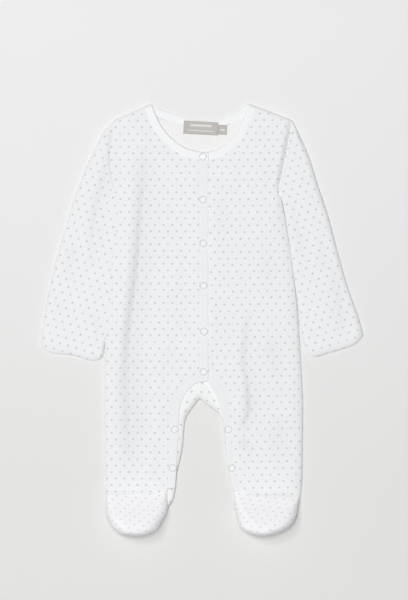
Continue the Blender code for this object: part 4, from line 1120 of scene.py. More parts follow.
def section(which, row, shares, width):
    """Points across a panel, from its side seam to its inner edge."""
    inner_x, inner_y, side_y = row
    outer_x = float(side[which](side_y))
    xs = across(outer_x, inner_x, shares, width)
    ys = side_y + (inner_y - side_y) * (xs - outer_x) / (inner_x - outer_x)
    return np.stack([xs, ys], axis=1)


def front_plan(which):
    sections = front_sections(which)
    centre_x = sections[0, 0]
    neck_path = binding_seam(which, TUCK)
    order = np.argsort(neck_path[:, 0])
    centre_top = (centre_x, float(np.interp(centre_x, neck_path[order, 0], neck_path[order, 1])))
    rows, shares = yoke(which, [*neck_path[:1:-1], centre_top], centre_x)
    for row in [*level_sections(centre_x, sections[0, 2]), *sections]:
        rows.append(section(which, row, shares, edge_roll(which, row[2])))
    last = rows[-1].copy()
    last[:, 1] = ankle[which](last[:, 0])
    start = rows[-1 - TURNING_ROWS]
    for i in range(1, TURNING_ROWS + 1):
        rows[i - 1 - TURNING_ROWS] = start + (last - start) * i / TURNING_ROWS
    return np.array(rows)


def raised(plan, height):
    return np.concatenate([plan, height[..., None]], axis=-1)


def front_grid(which):
    plan = front_plan(which)
    return raised(plan, front_height(which, plan, plan[:, :1, 0], plan[:, -1:, 0]))


# ---------------------------------------------------------------- back
def back_height(which, plan):
    """Height of the back's right side, which lies on the ground but for its creases."""
    y = plan[..., 1]
    start, length = HEEL_ROLL_FROM
    width = ROLL + (HEEL_ROLL - ROLL) * ease((start - y) / length)
    middle = seam_height(y) - EDGE_GAP
    lifted = creases(plan, BACK_CREASES)
    return middle + (lifted - middle) * side_rise(which, plan, plan[:, :1, 0], width)


def crotch_edge(gusset):
    """The back's edge round the crotch and down both inner legs, clear of the gusset's lower edge."""
    return offset(gusset[:, :2], gusset[:, 4] / 2 + GUSSET_LIP + SEAM + 0.1)


def back_half(which, gusset, apex):
    """Grid of the back's half, from the shoulder to the heel."""
    edge = crotch_edge(gusset)
    seam = back_seam(TUCK)
    middle = len(NECK_BACK) // 2
    neck_points = seam[: middle + 1] if which == "right" else seam[: middle - 1 : -1]
    ends = range(apex, -1, -1) if which == "right" else range(apex, len(gusset))
    centre_x = edge[apex, 0]
    rows, shares = yoke(which, neck_points, centre_x)
    sections = level_sections(centre_x, gusset[apex, 5])
    sections += [(*edge[i], gusset[i, 5]) for i in ends]
    sections.append((edge[ends[-1], 0], HEEL, HEEL))
    rows += [section(which, row, shares, ROLL) for row in sections]
    plan = np.array(rows)
    return raised(plan, back_height(which, plan))


# ---------------------------------------------------------------- sleeves
def sleeve_frame(which, outer_path, cuff_path, parting):
    """The four edges of a sleeve's plan: armhole, cuff, outer and inner edge, each a function of a share."""
    armhole = along([(x - OUT[which] * TUCK, y) for x, y in ARMHOLE[which]])
    space = curve(parting)
    inner_path = [tuple(armhole(1.0))]
    for y in np.linspace(ARMPIT, cuff_path[-1][1], 13)[1:-1]:
        inner_path.append((float(side[which](y) + OUT[which] * space(y)), y))
    inner_path.append(cuff_path[-1])
    outer = along([tuple(armhole(0.0)), *outer_path[1:]])
    return armhole, along(cuff_path), outer, along(inner_path)


def sleeve_places():
    """Shares of a sleeve's length where it has a ring: close together at its seam and at its cuff."""
    seam_share, cuff_length, before, between, after = SLEEVE_RINGS
    near_seam = np.linspace(0, seam_share, before)[:-1]
    middle = np.linspace(seam_share, 1 - cuff_length / SLEEVE_LENGTH, between)
    near_cuff = 1 - np.linspace(cuff_length, 0, after)[1:] / SLEEVE_LENGTH
    return np.concatenate([near_seam, middle, near_cuff])


def sleeve_plan(edges, down, shares):
    """Points across a sleeve at a share of its length, blended from its four edges."""
    armhole, cuff, outer, inner = edges
    column = shares[:, None]
    point = (1 - column) * outer(down) + column * inner(down)
    point = point + (1 - down) * armhole(shares) + down * cuff(shares)
    point -= (1 - column) * ((1 - down) * outer(0.0) + down * outer(1.0))
    point -= column * ((1 - down) * inner(0.0) + down * inner(1.0))
    return point


def hem_height(from_cuff):
    """How much higher a sleeve's top is for its doubled cuff, less its stitched line and its round end."""
    doubled = HEM_RISE * ease((HEM + HEM_EDGE - from_cuff) / (2 * HEM_EDGE))
    stitched = HEM_LINE * bell(from_cuff - HEM, HEM_LINE_REACH)
    return doubled - stitched - HEM_END * (1 - rolled(from_cuff, HEM_ROUND))


def beneath_sleeve(which, run, places, span):
    """Height of the creases beneath a sleeve, which fade out towards its seam and its cuff."""
    plan = np.stack([np.full(len(places), run), places], axis=1)
    sizes = (SLEEVE_LENGTH, span, SLEEVE_LENGTH, span, 1.0, 1.0)
    lifted = creases(plan, np.array(SLEEVE_CREASES_BENEATH[which]) * sizes)
    at_seam, at_cuff = BENEATH_FADES
    return lifted * ease(run / at_seam) * ease((SLEEVE_LENGTH - run) / at_cuff)


def sleeve_grid(which):
    """Closed rings from the armhole to the cuff, over the top from the outer fold and back beneath."""
    edges = sleeve_frame(which, *SLEEVE[which])
    top = curve(SLEEVE_HEIGHT)
    depth, width = GROOVE[which]
    rings = []
    for down in sleeve_places():
        run = down * SLEEVE_LENGTH
        from_cuff = SLEEVE_LENGTH - run
        span = float(np.linalg.norm(edges[3](down) - edges[2](down)))
        outer_roll, inner_roll = (grown(wide, run) for wide in SLEEVE_ROLL[which])
        first = fold_steps(outer_roll) / span
        last = 1 - fold_steps(inner_roll)[::-1] / span
        flat = first[-1] + (last[0] - first[-1]) * np.arange(1, SLEEVE_CELLS) / SLEEVE_CELLS
        shares = np.concatenate([first, flat, last])
        point = sleeve_plan(edges, down, shares)
        middle = float(top(down)) / 2
        crown = middle * 2 + hem_height(from_cuff) - depth * (1 - ease(run / width))
        crown = crown - folds(point, SLEEVE_FOLDS[which]) - TUCK_DROP * (1 - ease(run / SEAM_REACH))
        crown -= puckers(shares * span, from_cuff - HEM, "hem") + puckers(point[:, 1], run, "armhole")
        risen = np.minimum(rolled(shares * span, outer_roll), rolled((1 - shares) * span, inner_roll))
        upper = middle + (crown - middle) * risen
        lower = middle - (middle - beneath_sleeve(which, run, shares * span, span)) * risen
        rings.append(np.concatenate([raised(point, upper), raised(point, lower)[::-1][1:-1]]))
    return np.array(rings)


# ---------------------------------------------------------------- feet
def foot_row(outer_x, inner_x, width, levels):
    """Points across a foot, close together round both folds, from one height at its edges to another. levels
    gives y and the two heights at each x."""
    width = min(width, abs(outer_x - inner_x) * NARROWEST)
    sign = 1.0 if inner_x > outer_x else -1.0
    steps = fold_steps(width)
    first = outer_x + sign * steps
    last = (inner_x - sign * steps)[::-1]
    middle = first[-1] + (last[0] - first[-1]) * np.arange(1, FOOT_CELLS) / FOOT_CELLS
    xs = np.concatenate([first, middle, last])
    ys, low, high = levels(xs)
    away = np.minimum(np.abs(xs - outer_x), np.abs(xs - inner_x))
    height = low + (high - low) * rolled(away, width)
    return np.stack([xs, np.broadcast_to(ys, len(xs)), height], axis=1)


def foot_rows(which, upper):
    """Sections of a foot's upper or of its sole, from the heel to the toe."""
    rows = []
    for y, outer_x, inner_x, seam, top, under, width in finer(FOOT[which], FOOT_STEP, (0, 4)):
        levels = (y, seam + EDGE_GAP, top) if upper else (y, seam - EDGE_GAP, under)
        rows.append(foot_row(outer_x, inner_x, width, lambda _xs: levels))
    return rows


def foot_upper_grid(which):
    heel_y, _outer, heel_inner_x, _seam, _top, _under, heel_width = FOOT[which][0]
    ankle_outer_y = float(ankle[which](OUT[which] * ANKLE_OUTER))
    rows = []
    for share in np.linspace(0, 1, FOOT_ROWS)[:-1]:
        outer_x = float(side[which](ankle_outer_y + (heel_y - ankle_outer_y) * share))
        inner_x = ANKLE_INNER[which] + (heel_inner_x - ANKLE_INNER[which]) * share

        def levels(xs):
            ys = ankle[which](xs) + TUCK
            from_ankle = (ys - heel_y) * share
            ys = ys + (heel_y - ys) * share
            top = body_top(ys) - seam_dip(from_ankle) * ANKLE_DIP[which] - puckers(xs, from_ankle)
            top -= TUCK_DROP * ANKLE_DIP[which] * (1 - ease(from_ankle / SEAM_REACH))
            return ys, seam_height(ys) + EDGE_GAP, top

        rows.append(foot_row(outer_x, inner_x, ROLL + (heel_width - ROLL) * share, levels))
    return np.array(rows + foot_rows(which, upper=True))


# ---------------------------------------------------------------- plackets and gusset
def placket_grid(which):
    seam_x, edge_x = LAP[which]
    start = NECK[which][1][1] - BINDING_WIDTH + TUCK
    arch = finer([row[:5] for row in ARCH[which]], FINE)
    ys = np.concatenate([[start], spread(start, arch[0, 1], FINE)[:-1]])
    tops = band_height(which, ys) - (SEAM_DIP + TUCK_DROP) * (1 - ease((start - ys) / SEAM_REACH))
    edges = np.array([(edge_x, y, top) for y, top in zip(ys, tops)] + arch[:, [2, 3, 4]].tolist())
    seams = np.array([(seam_x, y, top) for y, top in zip(ys, tops)] + arch[:, [0, 1, 4]].tolist())
    normals = np.repeat([[0.0, 0.0, 1.0]], len(edges), axis=0)
    rings = band_rings(edges, seams, normals)
    sink_band(rings, normals, np.linalg.norm(seams - edges, axis=1), 1, "placket")
    return rings


def gusset_grid(gusset):
    """Sections of the gusset, from its lower edge round the fold to the edge beneath the bands."""
    rows = []
    roll_width = curve(GUSSET_ROLL)
    for fold_x, fold_y, edge_x, edge_y, height, _side_y in gusset:
        fold = np.array((fold_x, fold_y))
        edge = np.array((edge_x, edge_y))
        length = np.linalg.norm(edge - fold)
        inwards = (edge - fold) / length
        radius = height / 2
        wide = min(float(roll_width(fold_x)), 0.9 * length)
        row = [(*(fold + inwards * (radius + GUSSET_LIP)), 0.0)]
        for angle in np.radians(np.linspace(-90, 90, GUSSET_ARC)):
            reach = wide if angle > 0 else radius
            row.append((*(fold + inwards * reach * (1 - math.cos(angle))), radius + radius * math.sin(angle)))
        for share in np.linspace(0, 1, GUSSET_FLAT)[1:]:
            row.append((*(fold + inwards * (wide + (length - wide) * share)), height))
        rows.append(row)
    return np.array(rows)


# ---------------------------------------------------------------- snaps, tapes and stitches
# Half section of a snap's ring: distance from its axis, height
RING = (
    (5.2, 0.0),
    (5.2, 0.45),
    (5.1, 0.75),
    (4.9, 0.98),
    (4.62, 1.13),
    (4.35, 1.18),
    (4.08, 1.12),
    (3.82, 0.95),
    (3.62, 0.7),
    (3.52, 0.4),
    (3.5, 0.0),
)
RING_STEPS = 64
# Tapes: side of a cell, rise of the ends and of the lower edge, height of the ripples, and their lengths
TAPE_CELL = 0.8
TAPE_CURL = (0.5, 0.35)
TAPE_RIPPLE = (0.1, 4.1, 3.3)
STITCH_PITCH = 2.6
STITCH_ENDS = (-0.38, 0.0, 0.38)  # a stitch's start, middle and end, as shares of the pitch
STITCH_RADIUS = 0.22
STITCH_SINK = 0.1  # a placket's stitches are pressed this far into it
# Radius of a stitch along its length: share of its half length, share of its radius
STITCH_SHAPE = ((-0.7, 0.75), (0.0, 1.0), (0.7, 0.75))
STITCH_SIDES = 6


def make_snap(name, x, y, band_top, finish):
    """An open ring with a rounded top, pressed into the band."""
    turns = np.linspace(0, 2 * np.pi, RING_STEPS, endpoint=False)
    radii, heights = np.array(RING).T
    rings = np.empty((RING_STEPS + 1, len(RING), 3))
    rings[:-1, :, 0] = x + np.outer(np.cos(turns), radii)
    rings[:-1, :, 1] = y + np.outer(np.sin(turns), radii)
    rings[..., 2] = band_top + SEAM + heights
    rings[-1] = rings[0]
    mesh = grid_mesh(name + "_ring", [(rings, rings[..., :2])])
    rework(mesh, weld)
    mesh.shade_smooth()
    rework(mesh, close_underside)
    place(add(name + "_ring", mesh, finish), name)


def make_tape(name, sizes, finish):
    """A woven tape with a slight curl, on the inside of the back neck."""
    centre_x, centre_y, width, depth, thickness = sizes
    wide, high = np.meshgrid(
        np.linspace(-width / 2, width / 2, int(width / TAPE_CELL)),
        np.linspace(depth / 2, -depth / 2, int(depth / TAPE_CELL)),
    )
    ripple, wave_across, wave_down = TAPE_RIPPLE
    height = CLOTH + SEAM + thickness + TAPE_CURL[0] * (np.abs(wide) / (width / 2)) ** 6
    height += TAPE_CURL[1] * np.clip(-high / (depth / 2), 0, 1) ** 3
    height += ripple * np.sin(wide / wave_across + 0.6) * np.sin(high / wave_down)
    x, y = turned(wide, high, TAPE_TURN)
    grid = np.stack([centre_x + x, centre_y + y, height], axis=-1)
    mesh = grid_mesh(name + "_tape", [(grid, np.stack([wide, high], axis=-1))])
    mesh.shade_smooth()
    turn_outwards(mesh, upwards)
    thing = add(name + "_tape", mesh, finish)
    thicken(thing, thickness)
    place(thing, name)


def stitch_mesh(name, path, lifts, finish):
    """Short threads laid along a path, each a spindle with a gap before the next."""
    points = []
    faces = []
    lengths = lengths_along(path)

    def at(table, place_along):
        return np.array([np.interp(place_along, lengths, column) for column in table.T])

    for i in range(int(lengths[-1] / STITCH_PITCH)):
        places = (np.array(STITCH_ENDS) + i + 0.5) * STITCH_PITCH
        start, middle, end = (at(path, place_along) for place_along in places)
        lift = at(lifts, places[1])
        way = (end - start) / 2
        across_way = np.cross(way / np.linalg.norm(way), lift)
        faces.extend(spindle_faces(len(points)))
        points.append(start)
        for along_share, thick in STITCH_SHAPE:
            for turn in np.linspace(0, 2 * np.pi, STITCH_SIDES, endpoint=False):
                out = across_way * math.cos(turn) + lift * math.sin(turn)
                points.append(middle + way * along_share + out * thick * STITCH_RADIUS)
        points.append(end)
    mesh = bpy.data.meshes.new(name + "_stitches")
    mesh.from_pydata((np.array(points) * MM).tolist(), [], faces)
    mesh.shade_smooth()
    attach(add(name + "_stitches", mesh, finish), "root")


def spindle_faces(first):
    """Faces of a stitch whose points start with this one: a tip, its rings, and the other tip."""
    faces = []
    tip = first + 1 + len(STITCH_SHAPE) * STITCH_SIDES
    for k in range(STITCH_SIDES):
        after = (k + 1) % STITCH_SIDES
        faces.append((first, first + 1 + after, first + 1 + k))
        for ring in range(len(STITCH_SHAPE) - 1):
            low = first + 1 + ring * STITCH_SIDES
            high = low + STITCH_SIDES
            faces.append((low + k, low + after, high + after, high + k))
        faces.append((tip - STITCH_SIDES + k, tip - STITCH_SIDES + after, tip))
    return faces


def lying(path):
    """A path on cloth that lies face up, and the direction off the cloth at each of its points."""
    off_cloth = np.repeat([[0.0, 0.0, 1.0]], len(path), axis=0)
    return path - off_cloth * STITCH_SINK, off_cloth


def cuff_line(rings):
    """The stitched line round a cuff's hem, and the direction off the cloth along it."""
    from_end = lengths_along(rings.mean(axis=1)[::-1])[::-1]
    ring = rings[int(np.argmin(np.abs(from_end - HEM)))]
    ring = np.concatenate([ring, ring[:1]])
    off_cloth = np.zeros_like(ring)
    off_cloth[:, 2] = np.where(ring[:, 2] > ring[:, 2].mean(), 1.0, -1.0)
    ring[:, 2] = np.maximum(ring[:, 2], STITCH_RADIUS + 0.03)
    return ring, off_cloth


# ---------------------------------------------------------------- materials
def start_material(name, colour, roughness, **sockets):
    made = bpy.data.materials.new(name)
    made.use_nodes = True
    tree = made.node_tree
    shader = tree.nodes["Principled BSDF"]
    shader.inputs["Base Color"].default_value = (*colour, 1.0)
    shader.inputs["Roughness"].default_value = roughness
    for socket, value in sockets.items():
        shader.inputs[socket.replace("_", " ")].default_value = value
    made.diffuse_color = (*colour, 1.0)
    return made, tree, shader


def node(tree, kind, inputs=(), **settings):
    """A new node: inputs are pairs of a socket's name or number, and a value or the socket that feeds it."""
    made = tree.nodes.new(kind)
    for setting, value in settings.items():
        setattr(made, setting, value)
    for socket, value in inputs:
        if isinstance(value, bpy.types.NodeSocket):
            tree.links.new(value, made.inputs[socket])
        else:
            made.inputs[socket].default_value = value
    return made


def calc(tree, operation, *values):
    inputs = list(enumerate(values))
    return node(tree, "ShaderNodeMath", inputs, operation=operation).outputs[0]


def vector(tree, operation, *values):
    made = node(tree, "ShaderNodeVectorMath", list(enumerate(values)), operation=operation)
    return made.outputs["Value" if operation in ("LENGTH", "DOT_PRODUCT") else "Vector"]


def noise(tree, where, scale, detail=2.0, roughness=0.5):
    inputs = (("Vector", where), ("Scale", scale), ("Detail", detail), ("Roughness", roughness))
    return node(tree, "ShaderNodeTexNoise", inputs).outputs


def blend_colour(tree, share, first, second, blend_type="MIX"):
    inputs = ((0, share), (6, first), (7, second))
    return node(tree, "ShaderNodeMix", inputs, data_type="RGBA", blend_type=blend_type).outputs[2]


def bump(tree, height, strength, distance, normal=None):
    inputs = [("Height", height), ("Strength", strength), ("Distance", distance)]
    if normal is not None:
        inputs.append(("Normal", normal))
    return node(tree, "ShaderNodeBump", inputs).outputs["Normal"]


def ramp(tree, value, low, high, smooth=True):
    """From 0 at low to 1 at high."""
    kind = "SMOOTHSTEP" if smooth else "LINEAR"
    inputs = (("Value", value), ("From Min", low), ("From Max", high))
    return node(tree, "ShaderNodeMapRange", inputs, interpolation_type=kind).outputs["Result"]


def cloth_place(tree):
    return node(tree, "ShaderNodeUVMap", uv_map="cloth").outputs["UV"]


def pile(tree, shader, where, base, shade):
    """The velour's pile: patches where it leans one way or the other, tufts, and a fine fuzz."""
    leaning = noise(tree, where, 0.05, 3.0)["Fac"]
    tufts = noise(tree, vector(tree, "MULTIPLY", where, (1.0, 0.6, 1.0)), 0.9, 4.0, 0.6)["Fac"]
    fuzz = noise(tree, where, 3.2, 3.0, 0.7)["Fac"]
    mottle = calc(tree, "ADD", calc(tree, "MULTIPLY", leaning, 0.25), calc(tree, "MULTIPLY", tufts, 0.75))
    colour = blend_colour(tree, ramp(tree, mottle, 0.3, 0.7), shade, base)
    height = calc(tree, "ADD", calc(tree, "MULTIPLY", tufts, 0.7), calc(tree, "MULTIPLY", fuzz, 0.3))
    tree.links.new(bump(tree, height, 0.35, 0.0005), shader.inputs["Normal"])
    return colour, tufts


def with_painted_shade(tree, colour, painted_shade):
    """The colour with painted shade, darker on slopes that face the table's way and deep in a fold, and with
    a painted highlight on its upright rims."""
    way, start, end, painted_shade_colour, rim_highlight = painted_shade
    facing = node(tree, "ShaderNodeNewGeometry").outputs["Normal"]
    slope = ramp(tree, vector(tree, "DOT_PRODUCT", facing, way), start, end, smooth=False)
    # painted shade deep in a fold, from the stored depth
    valley = node(tree, "ShaderNodeAttribute", attribute_name="valley").outputs["Fac"]
    colour = blend_colour(tree, slope, colour, painted_shade_colour, "MULTIPLY")
    return painted_rim_highlight(tree, blend_colour(tree, valley, colour, VALLEY_SHADE, "MULTIPLY"), rim_highlight)


def painted_rim_highlight(tree, colour, share):
    """The colour with a painted highlight, paler by this share where the cloth turns upright, in place of the
    light that its fuzz catches.
    """
    facing = node(tree, "ShaderNodeNewGeometry").outputs["Normal"]
    level = calc(tree, "ABSOLUTE", node(tree, "ShaderNodeSeparateXYZ", (("Vector", facing),)).outputs["Z"])
    upright = ramp(tree, calc(tree, "SUBTRACT", 1.0, level), *RIM_TURN)
    return blend_colour(tree, calc(tree, "MULTIPLY", upright, share), colour, RIM_PAINTED_HIGHLIGHT)


def dots(tree, where, tufts):
    """1 inside the print's dots, whose edges the pile breaks up, and 0 outside."""
    wobble = vector(tree, "SUBTRACT", noise(tree, where, 0.8, 2.0)["Color"], (0.5, 0.5, 0.5))
    moved = vector(tree, "ADD", where, vector(tree, "MULTIPLY", wobble, (0.7, 0.7, 0.0)))
    high = (DOT_PITCH / 2, DOT_ROW, 0.5)
    low = (-DOT_PITCH / 2, -DOT_ROW, -0.5)
    even = vector(tree, "LENGTH", vector(tree, "WRAP", moved, high, low))
    shifted = vector(tree, "ADD", moved, (DOT_PITCH / 2, DOT_ROW, 0.0))
    odd = vector(tree, "LENGTH", vector(tree, "WRAP", shifted, high, low))
    nearest = calc(tree, "MINIMUM", even, odd)
    rough = calc(tree, "ADD", nearest, calc(tree, "MULTIPLY", calc(tree, "SUBTRACT", tufts, 0.5), 0.7))
    uneven = noise(tree, where, 0.13, 2.0)["Fac"]
    rough = calc(tree, "ADD", rough, calc(tree, "MULTIPLY", calc(tree, "SUBTRACT", uneven, 0.5), DOT_UNEVEN))
    return calc(tree, "SUBTRACT", 1.0, ramp(tree, rough, DOT_RADIUS + DOT_EDGE[0], DOT_RADIUS + DOT_EDGE[1]))


def shaded(colour, share):
    """The colour this much darker or lighter, as a node's value."""
    return (*(part * share for part in colour), 1.0)


def dotted_velour(name, colour, ink, painted_shade):
    made, tree, shader = start_material(name, colour, 0.95, Sheen_Weight=0.4, Sheen_Roughness=0.5)
    where = cloth_place(tree)
    ground, tufts = pile(tree, shader, where, shaded(colour, 1.01), shaded(colour, 0.985))
    mask = dots(tree, where, tufts)
    printed_ink = blend_colour(tree, tufts, shaded(ink, 0.8), shaded(ink, 1.2))
    printed_cloth = blend_colour(tree, mask, ground, printed_ink)
    # Painted shade on its slopes and deep in its folds, and a painted rim highlight, go into the printed
    # colour
    tree.links.new(with_painted_shade(tree, printed_cloth, painted_shade), shader.inputs["Base Color"])
    return made


def plain_velour(name, colour):
    made, tree, shader = start_material(name, colour, 0.95, Sheen_Weight=0.25, Sheen_Roughness=0.5)
    ground, _tufts = pile(tree, shader, cloth_place(tree), shaded(colour, 1.01), shaded(colour, 0.975))
    # Painted shade on its slopes and a painted rim highlight go into its colour
    tree.links.new(with_painted_shade(tree, ground, BODY_PAINTED_SHADE), shader.inputs["Base Color"])
    return made


def knit(tree, where, wale, course):
    """Height of a plain knit: columns of small V-shaped loops."""
    parts = node(tree, "ShaderNodeSeparateXYZ", (("Vector", where),)).outputs
    share = calc(tree, "FRACT", calc(tree, "DIVIDE", parts["X"], wale))
    from_middle = calc(tree, "ABSOLUTE", calc(tree, "SUBTRACT", share, 0.5))
    rounded = calc(tree, "SUBTRACT", 1.0, calc(tree, "POWER", calc(tree, "MULTIPLY", from_middle, 2.0), 3.0))
    slanted = calc(tree, "ADD", calc(tree, "DIVIDE", parts["Y"], course), from_middle)
    wave = calc(tree, "SINE", calc(tree, "MULTIPLY", slanted, 2 * math.pi))
    loops = calc(tree, "ADD", calc(tree, "MULTIPLY", wave, 0.25), 0.75)
    return calc(tree, "MULTIPLY", rounded, loops)


def plain_jersey(name, colour, wale, course, depth):
    made, tree, shader = start_material(name, colour, 0.85, Sheen_Weight=0.15, Sheen_Roughness=0.5)
    where = cloth_place(tree)
    height = knit(tree, where, wale, course)
    mottle = noise(tree, where, 0.12, 3.0)["Fac"]
    worked = calc(tree, "ADD", calc(tree, "MULTIPLY", height, 0.5), calc(tree, "MULTIPLY", mottle, 0.5))
    cloth = blend_colour(tree, ramp(tree, worked, 0.2, 0.75), shaded(colour, 0.97), shaded(colour, 1.01))
    # A painted highlight on the jersey's upright rims goes into its colour
    tree.links.new(painted_rim_highlight(tree, cloth, 1.0), shader.inputs["Base Color"])
    fuzz = noise(tree, where, 2.6, 3.0, 0.7)["Fac"]
    first = bump(tree, height, 0.5, depth)
    tree.links.new(bump(tree, fuzz, 0.25, 0.0003, first), shader.inputs["Normal"])
    return made


def snap_enamel():
    made, tree, shader = start_material("snap_enamel", (0.81, 0.815, 0.825), 0.5)
    where = node(tree, "ShaderNodeTexCoord").outputs["Object"]
    worn = noise(tree, where, 900.0, 3.0)["Fac"]
    tree.links.new(ramp(tree, worn, -1.2, 2.2), shader.inputs["Roughness"])
    colour = blend_colour(tree, worn, (0.74, 0.745, 0.755, 1.0), (0.8, 0.805, 0.815, 1.0))
    tree.links.new(colour, shader.inputs["Base Color"])
    tree.links.new(bump(tree, worn, 0.1, 0.0001), shader.inputs["Normal"])
    return made


def thread():
    made, tree, shader = start_material("thread", (0.88, 0.885, 0.89), 0.6, Sheen_Weight=0.3)
    where = node(tree, "ShaderNodeTexCoord").outputs["Object"]
    fibre = noise(tree, where, 5000.0, 2.0)["Fac"]
    colour = blend_colour(tree, fibre, (0.83, 0.835, 0.845, 1.0), (0.9, 0.9, 0.905, 1.0))
    tree.links.new(colour, shader.inputs["Base Color"])
    tree.links.new(bump(tree, fibre, 0.4, 0.0001), shader.inputs["Normal"])
    return made


def label_tape(name, bars):
    """Woven tape: fine ribs across it, and plain pale bars, each with a centre y, half width, half depth."""
    ground = (0.48, 0.46, 0.43)
    made, tree, shader = start_material(name, ground, 0.6, Sheen_Weight=0.2)
    where = cloth_place(tree)
    parts = node(tree, "ShaderNodeSeparateXYZ", (("Vector", where),)).outputs
    ribs = calc(tree, "SINE", calc(tree, "MULTIPLY", parts["Y"], 2 * math.pi / 0.55))
    yarns = calc(tree, "SINE", calc(tree, "MULTIPLY", parts["X"], 2 * math.pi / 0.8))
    weave = calc(tree, "ADD", calc(tree, "MULTIPLY", ribs, 0.3), calc(tree, "MULTIPLY", yarns, 0.2))
    tone = calc(tree, "ADD", weave, noise(tree, where, 0.5, 3.0)["Fac"])
    colour = blend_colour(tree, ramp(tree, tone, 0.0, 1.0), shaded(ground, 0.9), shaded(ground, 1.12))
    for centre, half_width, half_depth in bars:
        from_bar = calc(tree, "ABSOLUTE", calc(tree, "SUBTRACT", parts["Y"], centre))
        inside_y = ramp(tree, from_bar, half_depth, half_depth - 0.3)
        inside_x = ramp(tree, calc(tree, "ABSOLUTE", parts["X"]), half_width, half_width - 0.3)
        share = calc(tree, "MULTIPLY", calc(tree, "MULTIPLY", inside_x, inside_y), 0.7)
        colour = blend_colour(tree, share, colour, (0.8, 0.79, 0.76, 1.0))
    tree.links.new(colour, shader.inputs["Base Color"])
    tree.links.new(bump(tree, weave, 0.4, 0.0001), shader.inputs["Normal"])
    return made


def floor_paper():
    """Plain paper with painted light: darker and warmer towards the feet than towards the neck, in place of
    the lamps' falloff.
    """
    made, tree, shader = start_material("floor", (0.8, 0.8, 0.795), 0.9)
    where = node(tree, "ShaderNodeTexCoord").outputs["Object"]
    parts = node(tree, "ShaderNodeSeparateXYZ", (("Vector", where),)).outputs
    # Painted light: the paper's colour grades from the feet up the page
    painted_falloff = ramp(tree, parts["Y"], -0.2, 0.38, smooth=False)
    shade = blend_colour(tree, painted_falloff, (0.762, 0.762, 0.752, 1.0), (0.832, 0.832, 0.84, 1.0))
    grain = noise(tree, where, 3.0, 4.0)["Fac"]
    paler = vector(tree, "SCALE", shade)
    tree.links.new(calc(tree, "ADD", 0.99, calc(tree, "MULTIPLY", grain, 0.02)), paler.node.inputs["Scale"])
    tree.links.new(paler, shader.inputs["Base Color"])
    return made


# ---------------------------------------------------------------- stage
CAMERA_HEIGHT = 10.0
VIEW_LENGTH = 0.78  # what the picture's long side shows at the garment, in metres
VIEW_CENTRE = (0.0022, 0.0257)
# Lamps: name, x, y and z in metres, diameter, power. Each looks at the middle of the garment.
LAMPS = (
    ("key", -0.84, 0.48, 2.8, 0.7, 17.0),
    ("overhead", -0.3, -0.1, 5.0, 1.6, 155.0),
)
WORLD_LIGHT = 0.22


def add_lamp(name, place_at, diameter, power):
    lamp = bpy.data.lights.new(name, "AREA")
    lamp.shape = "DISK"
    lamp.size = diameter
    lamp.energy = power
    thing = bpy.data.objects.new(name, lamp)
    thing.location = place_at
    thing.rotation_mode = "QUATERNION"
    thing.rotation_quaternion = Vector(place_at).to_track_quat("Z", "Y")
    thing.visible_camera = False
    bpy.context.scene.collection.objects.link(thing)


def make_stage():
    bpy.ops.mesh.primitive_plane_add(size=14.0, location=(0, 0, -0.0004))
    floor = bpy.context.object
    floor.name = "floor"
    floor.data.materials.append(floor_paper())

    camera = bpy.data.objects.new("camera", bpy.data.cameras.new("camera"))
    camera.data.lens = 36.0 * CAMERA_HEIGHT / VIEW_LENGTH
    camera.data.sensor_width = 36.0
    camera.data.clip_start = 0.5
    camera.data.clip_end = 60.0
    camera.location = (*VIEW_CENTRE, CAMERA_HEIGHT)
    bpy.context.scene.collection.objects.link(camera)
    bpy.context.scene.camera = camera

    for name, x, y, z, diameter, power in LAMPS:
        add_lamp(name, (x, y, z), diameter, power)

    world = bpy.data.worlds.new("studio")
    world.use_nodes = True
    sky = world.node_tree.nodes["Background"]
    sky.inputs["Color"].default_value = (1.0, 1.0, 1.0, 1.0)
    sky.inputs["Strength"].default_value = WORLD_LIGHT
    bpy.context.scene.world = world
    bpy.context.scene.view_settings.view_transform = "Standard"


# ---------------------------------------------------------------- the garment
def upwards(_centre):
    return Vector((0, 0, 1))


def downwards(_centre):
    return Vector((0, 0, -1))


def from_middle_of(centre_line):
    """The direction from the middle of a tube's nearest ring to a point."""

    def outwards(centre):
        point = np.array(centre)
        nearest = centre_line[int(np.argmin(np.linalg.norm(centre_line - point, axis=1)))]
        return Vector((0, 0, point[2] - nearest[2]))

    return outwards


def make_back(gusset, finish, inside):
    crotch = GUSSET[CROTCH]
    apex = int(np.argmin(np.hypot(gusset[:, 0] - crotch[0], gusset[:, 1] - crotch[1])))
    halves = [add_uv("back", back_half(which, gusset, apex)) for which in SIDES]
    panel("back", halves, downwards, finish, inside)


def make_sleeve(which, finish, inside, white_thread):
    name = "sleeve_" + which
    rings = sleeve_grid(which)
    looped = np.concatenate([rings, rings[:, :1]], axis=1)
    uv = add_uv(name, looped, anchor_column=0, ring=True)[1]
    outwards = from_middle_of(rings.mean(axis=1) * MM)
    panel(name, [(rings, uv)], outwards, finish, inside, ring=True, valleys=SLEEVE_FOLDS[which])
    stitch_mesh(name, *cuff_line(rings), white_thread)


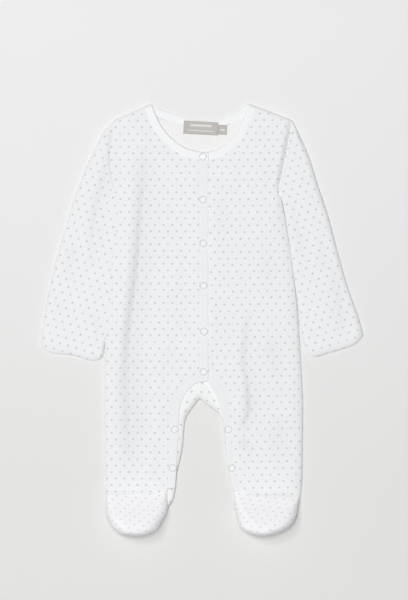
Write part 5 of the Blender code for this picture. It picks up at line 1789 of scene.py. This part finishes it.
def make_placket(which, finish, white_thread):
    name = "placket_" + which
    rings = placket_grid(which)
    band(name, rings, finish)
    stitch_mesh(name, *lying(rings[:, 1]), white_thread)


def make_garment():
    velour = dotted_velour("dotted_velour", (0.848, 0.855, 0.868), (0.575, 0.58, 0.595), BODY_PAINTED_SHADE)
    # A paler copy of the dotted velour, with paler ink: painted light on the feet's uppers
    foot_velour_painted_light = dotted_velour("foot_velour_painted_light", (0.98, 0.98, 0.995), (0.7, 0.705, 0.72), FOOT_PAINTED_SHADE)
    # A paler copy of the dotted velour: painted light on the gusset's top
    gusset_velour_painted_light = dotted_velour("gusset_velour_painted_light", (0.875, 0.88, 0.885), (0.59, 0.595, 0.61), GUSSET_PAINTED_SHADE)
    sole_velour = plain_velour("plain_velour", (0.85, 0.845, 0.83))
    jersey = plain_jersey("plain_jersey", (0.86, 0.865, 0.88), 0.9, 0.7, 0.0002)
    # A paler copy of the plain jersey: painted light on the neck binding
    binding = plain_jersey("binding_jersey_painted_light", (0.915, 0.92, 0.93), 0.9, 0.7, 0.0002)
    inside = plain_jersey("wrong_side", (0.885, 0.885, 0.88), 1.2, 0.9, 0.0003)
    enamel = snap_enamel()
    white_thread = thread()

    gusset = finer(GUSSET, CELL)
    make_back(gusset, velour, inside)
    for which in SIDES:
        name = "front_" + which
        panel(name, [add_uv(name, front_grid(which))], upwards, velour, inside, valleys=FRONT_FOLDS)
        make_sleeve(which, velour, inside, white_thread)
        make_placket(which, jersey, white_thread)
        name = "foot_upper_" + which
        panel(name, [add_uv(name, foot_upper_grid(which), anchor_row=0)], upwards, foot_velour_painted_light, inside)
        sole = np.array(foot_rows(which, upper=False))
        panel("sole_" + which, [(sole, flat_uv(sole))], downwards, sole_velour, inside)
    band("neck_binding", binding_grid(), binding)
    grid = gusset_grid(gusset)
    along_fold = grid[:, 1 + GUSSET_ARC // 2, :2]
    panel("gusset", [(grid, printed(strip_uv(grid, along_fold), "gusset"))], upwards, gusset_velour_painted_light, inside)
    for name, x, y, band_top in SNAPS:
        make_snap(name, x, y, band_top, enamel)
    make_tape("label", LABEL, label_tape("label_weave", ((3.2, 14.0, 1.6), (-3.6, 17.0, 0.7))))
    make_tape("size_tab", TAB, label_tape("tab_weave", ((0.0, 3.0, 1.2),)))


make_stage()
make_garment()
